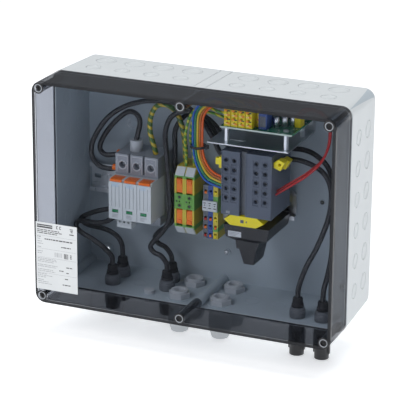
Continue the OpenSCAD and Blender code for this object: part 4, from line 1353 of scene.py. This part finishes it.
@dataclass
class Fittings:
    """Cable glands, string sockets with their boots, and the vent plug."""

    finishes: Finishes
    cad: CadNodes
    glands: tuple[tuple[float, float], ...] = ((-30, -66), (-29, -24), (21, -66), (21, -24))
    inlets: tuple[tuple[float, float], ...] = ((-118, -60), (-118, -32), (-52, -52), (-57, -26), (116, -68), (146, -68))
    pad_low: float = -133.0
    pad_top: float = -127.5
    boot_low: float = -115.0

    def build(self) -> None:
        """Dress the nodes and add threads, ribs and rings."""
        f = self.finishes
        self.cad.dress(f.fitting_grey, 0.3, "gland_bodies", "gland_locknuts", "gland_dome_nuts", "vent_plug")
        self.cad.dress(f.seal, 0.2, "gland_seals")
        self.cad.dress(f.black, 0.3, "string_inlets")
        self.cad.dress(f.dark_grey, 0.3, "inlet_nuts")
        self.cad.dress(f.seal, 0.4, "inlet_boots")
        self.gland_threads()
        self.dome_ribs()
        self.inlet_rings()

    def gland_threads(self) -> None:
        """Thread turns of the glands above their locknuts."""
        piece = Piece("gland_threads", self.finishes.fitting_grey)
        for x, y in self.glands:
            for k in range(2):
                z = self.pad_top + 6.4 + 1.2 * k
                outline = [(0.0, 9.8), (0.35, 10.3), (0.7, 9.8)]
                piece.turned((x, y, z), Axis.UP, outline, 40, 0, True)
        piece.done(Body.BASE, "light_grey_plastic")

    def dome_ribs(self) -> None:
        """Grip ribs round the dome nuts."""
        piece = Piece("dome_nut_ribs", self.finishes.fitting_grey)
        for x, y in self.glands:
            for k in range(18):
                turn = 2 * math.pi * k / 18
                ahead = Vector((math.cos(turn), math.sin(turn), 0))
                side = Vector((-math.sin(turn), math.cos(turn), 0))
                foot = Vector((x, y, self.pad_low - 25.0)) + ahead * 12.3
                outline = [foot - side * 0.6, foot + ahead * 0.9, foot + side * 0.6]
                piece.slab([tuple(p) for p in outline], (0.0, 0.0, 18.5))
        piece.done(Body.BASE, "light_grey_plastic")

    def inlet_rings(self) -> None:
        """Ribs of the boots, grooves of the nuts and collars of the sockets."""
        f = self.finishes
        piece = Piece("inlet_rings", f.seal, f.dark_grey, f.black)
        for x, y in self.inlets:
            for k in range(3):
                piece.hoop((x, y, self.boot_low + 5.0 + 2.0 * k), Axis.UP, 6.0, 1.2, 0.9)
            for k in range(2):
                outline = [(0.0, 8.9), (0.3, 9.3), (0.9, 9.3), (1.2, 8.9)]
                piece.turned((x, y, self.pad_top + 3.0 + 3.0 * k), Axis.UP, outline, 36, 1, True)
            for k in range(3):
                outline = [(0.0, 8.3), (0.3, 8.8), (0.9, 8.8), (1.2, 8.3)]
                piece.turned((x, y, self.pad_low - 11.0 - 3.0 * k), Axis.DOWN, outline, 36, 2, True)
        piece.done(Body.BASE, "black_plastic")


@dataclass
class Wiring:
    """The cables and wires, along the same routes as their CAD tubes."""

    finishes: Finishes
    cad: CadNodes
    boot_top: float = -104.0
    string_r: float = 3.0
    wire_r: float = 1.3
    earth_r: float = 1.6

    def build(self) -> None:
        """Lay every cable and dress the tie."""
        self.cad.dress(self.finishes.black, 0.2, "cable_tie")
        self.string_cables()
        self.surge_cables()
        self.control_wires()
        self.red_wires()
        self.earth_wires()
        self.tie_teeth()

    def lay(
        self, name: str, route: Route, radius: float, finish: Material, slot: str, node: str
    ) -> bpy.types.Object:
        """Build one cable, which stands for its part of a CAD node.

        Args:
            name: the piece's name.
            route: its points.
            radius: its radius.
            finish: its sheath.
            slot: the record's slot.
            node: the CAD node that holds it.

        Returns:
            The cable, riding on the base.
        """
        piece = Piece(name, finish, self.finishes.orange, self.finishes.zinc)
        piece.sweep(smooth_route(route, 10), radius, 18)
        return piece.done(Body.BASE, slot, node)

    def string_cables(self) -> None:
        """Six string leads from the boots to the surge protector and the switch."""
        top = self.boot_top
        routes = [
            [(-118, -60, top), (-119, -60, -94), (-129, -60, -85), (-144, -58, -77.5), (-158, -57, -72),
             (-168, -53, -67), (-168, -47, -62), (-157, -47, -60.5), (-144, -49, -60), (-131, -50, -56),
             (-121, -48.5, -49.5), (-114, -46, -45.3)],
            [(-118, -32, top), (-118.5, -32, -91), (-123, -32, -81.5), (-132, -32, -75.5), (-143, -31, -73),
             (-155, -30, -72.5), (-166, -31, -70.5), (-170, -35, -64), (-165, -38, -58), (-156, -38, -53),
             (-144, -38, -48), (-131, -37.5, -44.5), (-114, -36, -43)],
            [(-52, -52, top), (-53, -52, -95), (-60, -52, -87), (-69, -51, -84.5), (-74, -50, -78),
             (-67, -50, -68), (-58.5, -50, -57.5), (-51.5, -50, -45), (-49.5, -50, -28), (-50, -51, 0),
             (-53, -52, 40), (-55, -50, 64), (-46, -50, 84), (-24, -50, 92), (-4, -49, 82), (12, -48, 62),
             (28, -47, 56)],
            [(-57, -26, top), (-58.5, -26, -95), (-65, -27, -86), (-74, -28, -81.5), (-78, -28, -75),
             (-72, -28.5, -66.5), (-62, -29, -58), (-54.5, -30, -49), (-51.8, -30, -36), (-52, -30, 0),
             (-52, -30, 40), (-51, -30, 62), (-38, -30, 80), (-18, -30, 82), (0, -30, 70), (12, -30, 54),
             (28, -30, 46)],
            [(116, -68, top), (116.5, -67, -92), (124, -66, -68), (136.5, -64, -41), (148, -62, -6),
             (149, -58, 20), (142, -53, 36), (128, -48, 45), (108, -46, 50), (88, -46, 50)],
            [(146, -68, top), (146, -66, -91), (148.5, -62, -75), (150, -56, -56), (149.5, -52, -36),
             (147, -48, 3), (145, -44, 28), (138, -40, 44), (124, -36, 54), (108, -32, 58), (88, -32, 58)],
        ]
        for k, route in enumerate(routes, 1):
            self.lay(f"string_lead_{k}", route, self.string_r, self.finishes.cable, "cable_black", "string_cables")

    def surge_cables(self) -> None:
        """Three leads of the surge protector, the last of them an earth lead."""
        routes = [
            [(-114, -48, 12), (-127, -48, 9), (-140, -48, 11), (-148.5, -48.5, 21), (-148.5, -49, 36),
             (-140, -50, 54), (-127, -51, 71.5), (-111.5, -52, 84), (-92, -54, 94), (-68, -58, 101),
             (-34, -60, 102), (-12, -60, 92), (6, -60, 70), (16, -60, 52), (28, -60, 44)],
            [(-114, -36, 26), (-125, -37, 23), (-137, -38, 22), (-143.5, -38, 29), (-139.5, -38, 42),
             (-128, -39, 58.5), (-116, -40, 71), (-105, -40, 78.5), (-95, -40, 76), (-91.5, -40, 67),
             (-94, -40, 54), (-96, -40, 46)],
            [(-69.5, -44, 33), (-72, -45, 44), (-76, -46, 60), (-75, -46, 78), (-68, -45, 91), (-56, -43, 93),
             (-45, -41, 84), (-38, -40, 66), (-36, -38, 46), (-35.85, -36, 24)],
        ]
        earth = Sheath("earth_lead_sheath", (0.07, 0.16, 0.04), 0.4, (0.62, 0.45, 0.04)).material()
        sheaths = (self.finishes.cable, self.finishes.cable, earth)
        for k, (route, sheath) in enumerate(zip(routes, sheaths), 1):
            self.lay(f"surge_lead_{k}", route, self.string_r, sheath, "cable_black", "surge_cables")
        sleeves = Piece("lead_sleeves", self.finishes.orange)
        for y, z in ((-48, 11.8), (-36, 25.8)):
            outline = [(0.0, 3.2), (0.4, 3.7), (7.0, 3.7), (7.6, 3.2)]
            sleeves.turned((-114.4, y, z), Axis.LEFT, outline, 24)
        sleeves.done(Body.BASE, "orange_plastic")

    def control_wires(self) -> None:
        """Five coloured wires from the board to the switch."""
        tints = {
            "wire_blue": (0.02, 0.12, 0.50),
            "wire_green": (0.03, 0.26, 0.12),
            "wire_yellow": (0.78, 0.55, 0.04),
            "wire_brown": (0.55, 0.16, 0.02),
            "wire_orange": (0.92, 0.15, 0.02),
        }
        for i, (name, tint) in enumerate(tints.items()):
            start = (36, 44.5, 53, 61.5, 68.7)[i]
            route = [
                (start, -84 + 3 * i, 113), (start - 3, -84 + 3 * i, 119), (16 + 6 * i, -83 + 3 * i, 121),
                (2 + 4 * i, -80 + 2.3 * i, 113), (-10 + 3 * i, -73.5 + 0.6 * i, 98), (-12 + 2.9 * i, -71.5, 76),
                (-11 + 2.9 * i, -71.5, 52), (-5 + 2.9 * i, -72, 33 + 1.3 * i), (6 + 2.3 * i, -73, 20 + 2.8 * i),
                (28, -74, 14 + 3.3 * i),
            ]
            finish = Sheath(name, tint, 0.36).material()
            self.lay(f"control_{name}", route, self.wire_r, finish, "wire_orange", "control_wires")

    def red_wires(self) -> None:
        """Two red wires from the switch to the right end of the board."""
        finish = Sheath("wire_red", (0.50, 0.02, 0.02), 0.36).material()
        for i in range(2):
            route = [
                (88, -71 + 4 * i, 15 + 3 * i), (106, -69 + 4 * i, 28 + 3 * i), (122, -66 + 4 * i, 40 + 3 * i),
                (137, -62 + 4 * i, 56 + 2 * i), (145 - 2 * i, -59 + 4 * i, 76), (146 - 3 * i, -58 + 4 * i, 97),
                (139 - 2 * i, -57 + 4 * i, 110 - 3 * i), (126, -57 + 3.5 * i, 115 - 3.3 * i),
                (113 + 2 * i, -57 + 3 * i, 113 - 2.5 * i), (107 + 3.3 * i, -57 + 3 * i, 103),
            ]
            self.lay(f"red_wire_{i + 1}", route, self.wire_r, finish, "wire_red", "red_wires")

    def earth_wires(self) -> None:
        """Two green-yellow wires from the power terminals to the board."""
        finish = Sheath("wire_green_yellow", (0.10, 0.30, 0.05), 0.38, (0.66, 0.60, 0.05)).material()
        routes = [
            [(-23.55, -40, 24), (-24, -42, 40), (-22, -54, 56), (-18, -64, 72), (-14, -66, 88), (-6, -66, 97),
             (8, -67, 99), (20, -71, 98), (32.2, -73.5, 97)],
            [(-32.05, -44, 24), (-31, -46, 38), (-27, -58, 54), (-23, -66, 72), (-18, -67, 90), (-9, -66, 102),
             (6, -66.5, 104), (18, -71, 103), (32.2, -73.5, 103)],
        ]
        for k, route in enumerate(routes, 1):
            self.lay(f"earth_wire_{k}", route, self.earth_r, finish, "green_yellow_plastic", "ground_wires")

    def tie_teeth(self) -> None:
        """Fine teeth round the cable tie."""
        piece = Piece("cable_tie_teeth", self.finishes.black)
        for k in range(40):
            turn = 2 * math.pi * k / 40
            ahead = Vector((math.cos(turn), math.sin(turn), 0))
            side = Vector((-math.sin(turn), math.cos(turn), 0))
            foot = Vector((-5.3, -71.5, 58.4)) + ahead * 9.1
            outline = [foot - side * 0.4, foot + ahead * 0.35, foot + side * 0.4]
            piece.slab([tuple(p) for p in outline], (0.0, 0.0, 2.2))
        piece.done(Body.BASE, "black_plastic")


@dataclass
class Studio:
    """Pale floor, soft lights and the camera."""

    floor_z: float = -172.5
    eye: Point = (918.04, -2234.51, 826.21)
    right: Point = (0.91988245, 0.39213599, 0.00675602)
    up: Point = (-0.13711119, 0.30540422, 0.94229973)
    ahead: Point = (-0.36744632, 0.86773131, -0.33470221)
    lens: float = 195.1

    def build(self) -> None:
        """Set up the whole studio."""
        self.floor()
        self.lights()
        self.camera()

    def floor(self) -> None:
        """A wide pale floor."""
        graph = Graph("floor_paper")
        tint = graph.blend(graph.noise(300.0), (0.90, 0.905, 0.91), (0.93, 0.93, 0.93))
        glow = {"Emission Color": (0.97, 0.98, 1.0, 1.0), "Emission Strength": 0.5}
        sockets = {"Base Color": tint, "Roughness": 0.7, **glow}
        finish = graph.close(graph.surface(sockets, graph.noise(2.0), 0.01))
        size = 12.0
        mesh = bpy.data.meshes.new("floor")
        z = self.floor_z * MM
        corners = [(-size, -size, z), (size, -size, z), (size, size, z), (-size, size, z)]
        mesh.from_pydata(corners, [], [(0, 1, 2, 3)])
        mesh.materials.append(finish)
        floor = bpy.data.objects.new("floor", mesh)
        bpy.context.scene.collection.objects.link(floor)

    def softbox(self, name: str, spot: Point, target: Point, size: float, power: float) -> None:
        """Add one soft area light.

        Args:
            name: the light's name.
            spot: where it stands, in metres.
            target: what it points at, in metres.
            size: its width in metres.
            power: its power in watts.
        """
        lamp = bpy.data.lights.new(name, "AREA")
        lamp.shape = "DISK"
        lamp.size = size
        lamp.energy = power
        holder = bpy.data.objects.new(name, lamp)
        holder.location = spot
        holder.rotation_euler = (Vector(target) - Vector(spot)).to_track_quat("-Z", "Y").to_euler()
        bpy.context.scene.collection.objects.link(holder)

    def lights(self) -> None:
        """Key, fill and top lights with a pale surround."""
        middle = (0.0, -0.05, 0.0)
        self.softbox("key", (-1.1, -2.2, 1.9), middle, 1.6, 42.0)
        self.softbox("top", (0.3, 0.1, 2.4), middle, 2.2, 33.0)
        self.softbox("side", (2.6, -0.6, 0.8), middle, 1.6, 8.0)
        world = bpy.data.worlds.new("surround")
        world.use_nodes = True
        backdrop = world.node_tree.nodes["Background"]
        backdrop.inputs["Color"].default_value = (0.92, 0.95, 1.0, 1.0)
        backdrop.inputs["Strength"].default_value = 0.33
        bpy.context.scene.world = world
        bpy.context.scene.view_settings.view_transform = "Standard"

    def camera(self) -> None:
        """Place the camera by its three directions."""
        lens = bpy.data.cameras.new("camera")
        lens.lens = self.lens
        lens.sensor_width = 36.0
        lens.clip_end = 50.0
        holder = bpy.data.objects.new("camera", lens)
        columns = (Vector(self.right), Vector(self.up), -Vector(self.ahead))
        turn = Matrix([list(row) for row in zip(*columns)]).to_4x4()
        holder.matrix_world = Matrix.Translation(Vector(self.eye) * MM) @ turn
        bpy.context.scene.collection.objects.link(holder)
        bpy.context.scene.camera = holder


def main() -> None:
    """Load the frame and build the studio and every sub-assembly in order."""
    logging.basicConfig(level=logging.INFO, format="%(message)s")
    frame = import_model()
    finishes = Finishes()
    cad = CadNodes(frame["nodes"])
    Studio().build()
    devices = (SurgeProtector, PowerTerminals, FeedTerminals, SwitchUnit, ControlBoard)
    for kind in (Enclosure, *devices, Fittings, Wiring):
        LOG.info("building %s", kind.__name__)
        kind(finishes, cad).build()


if __name__ == "__main__":
    main()
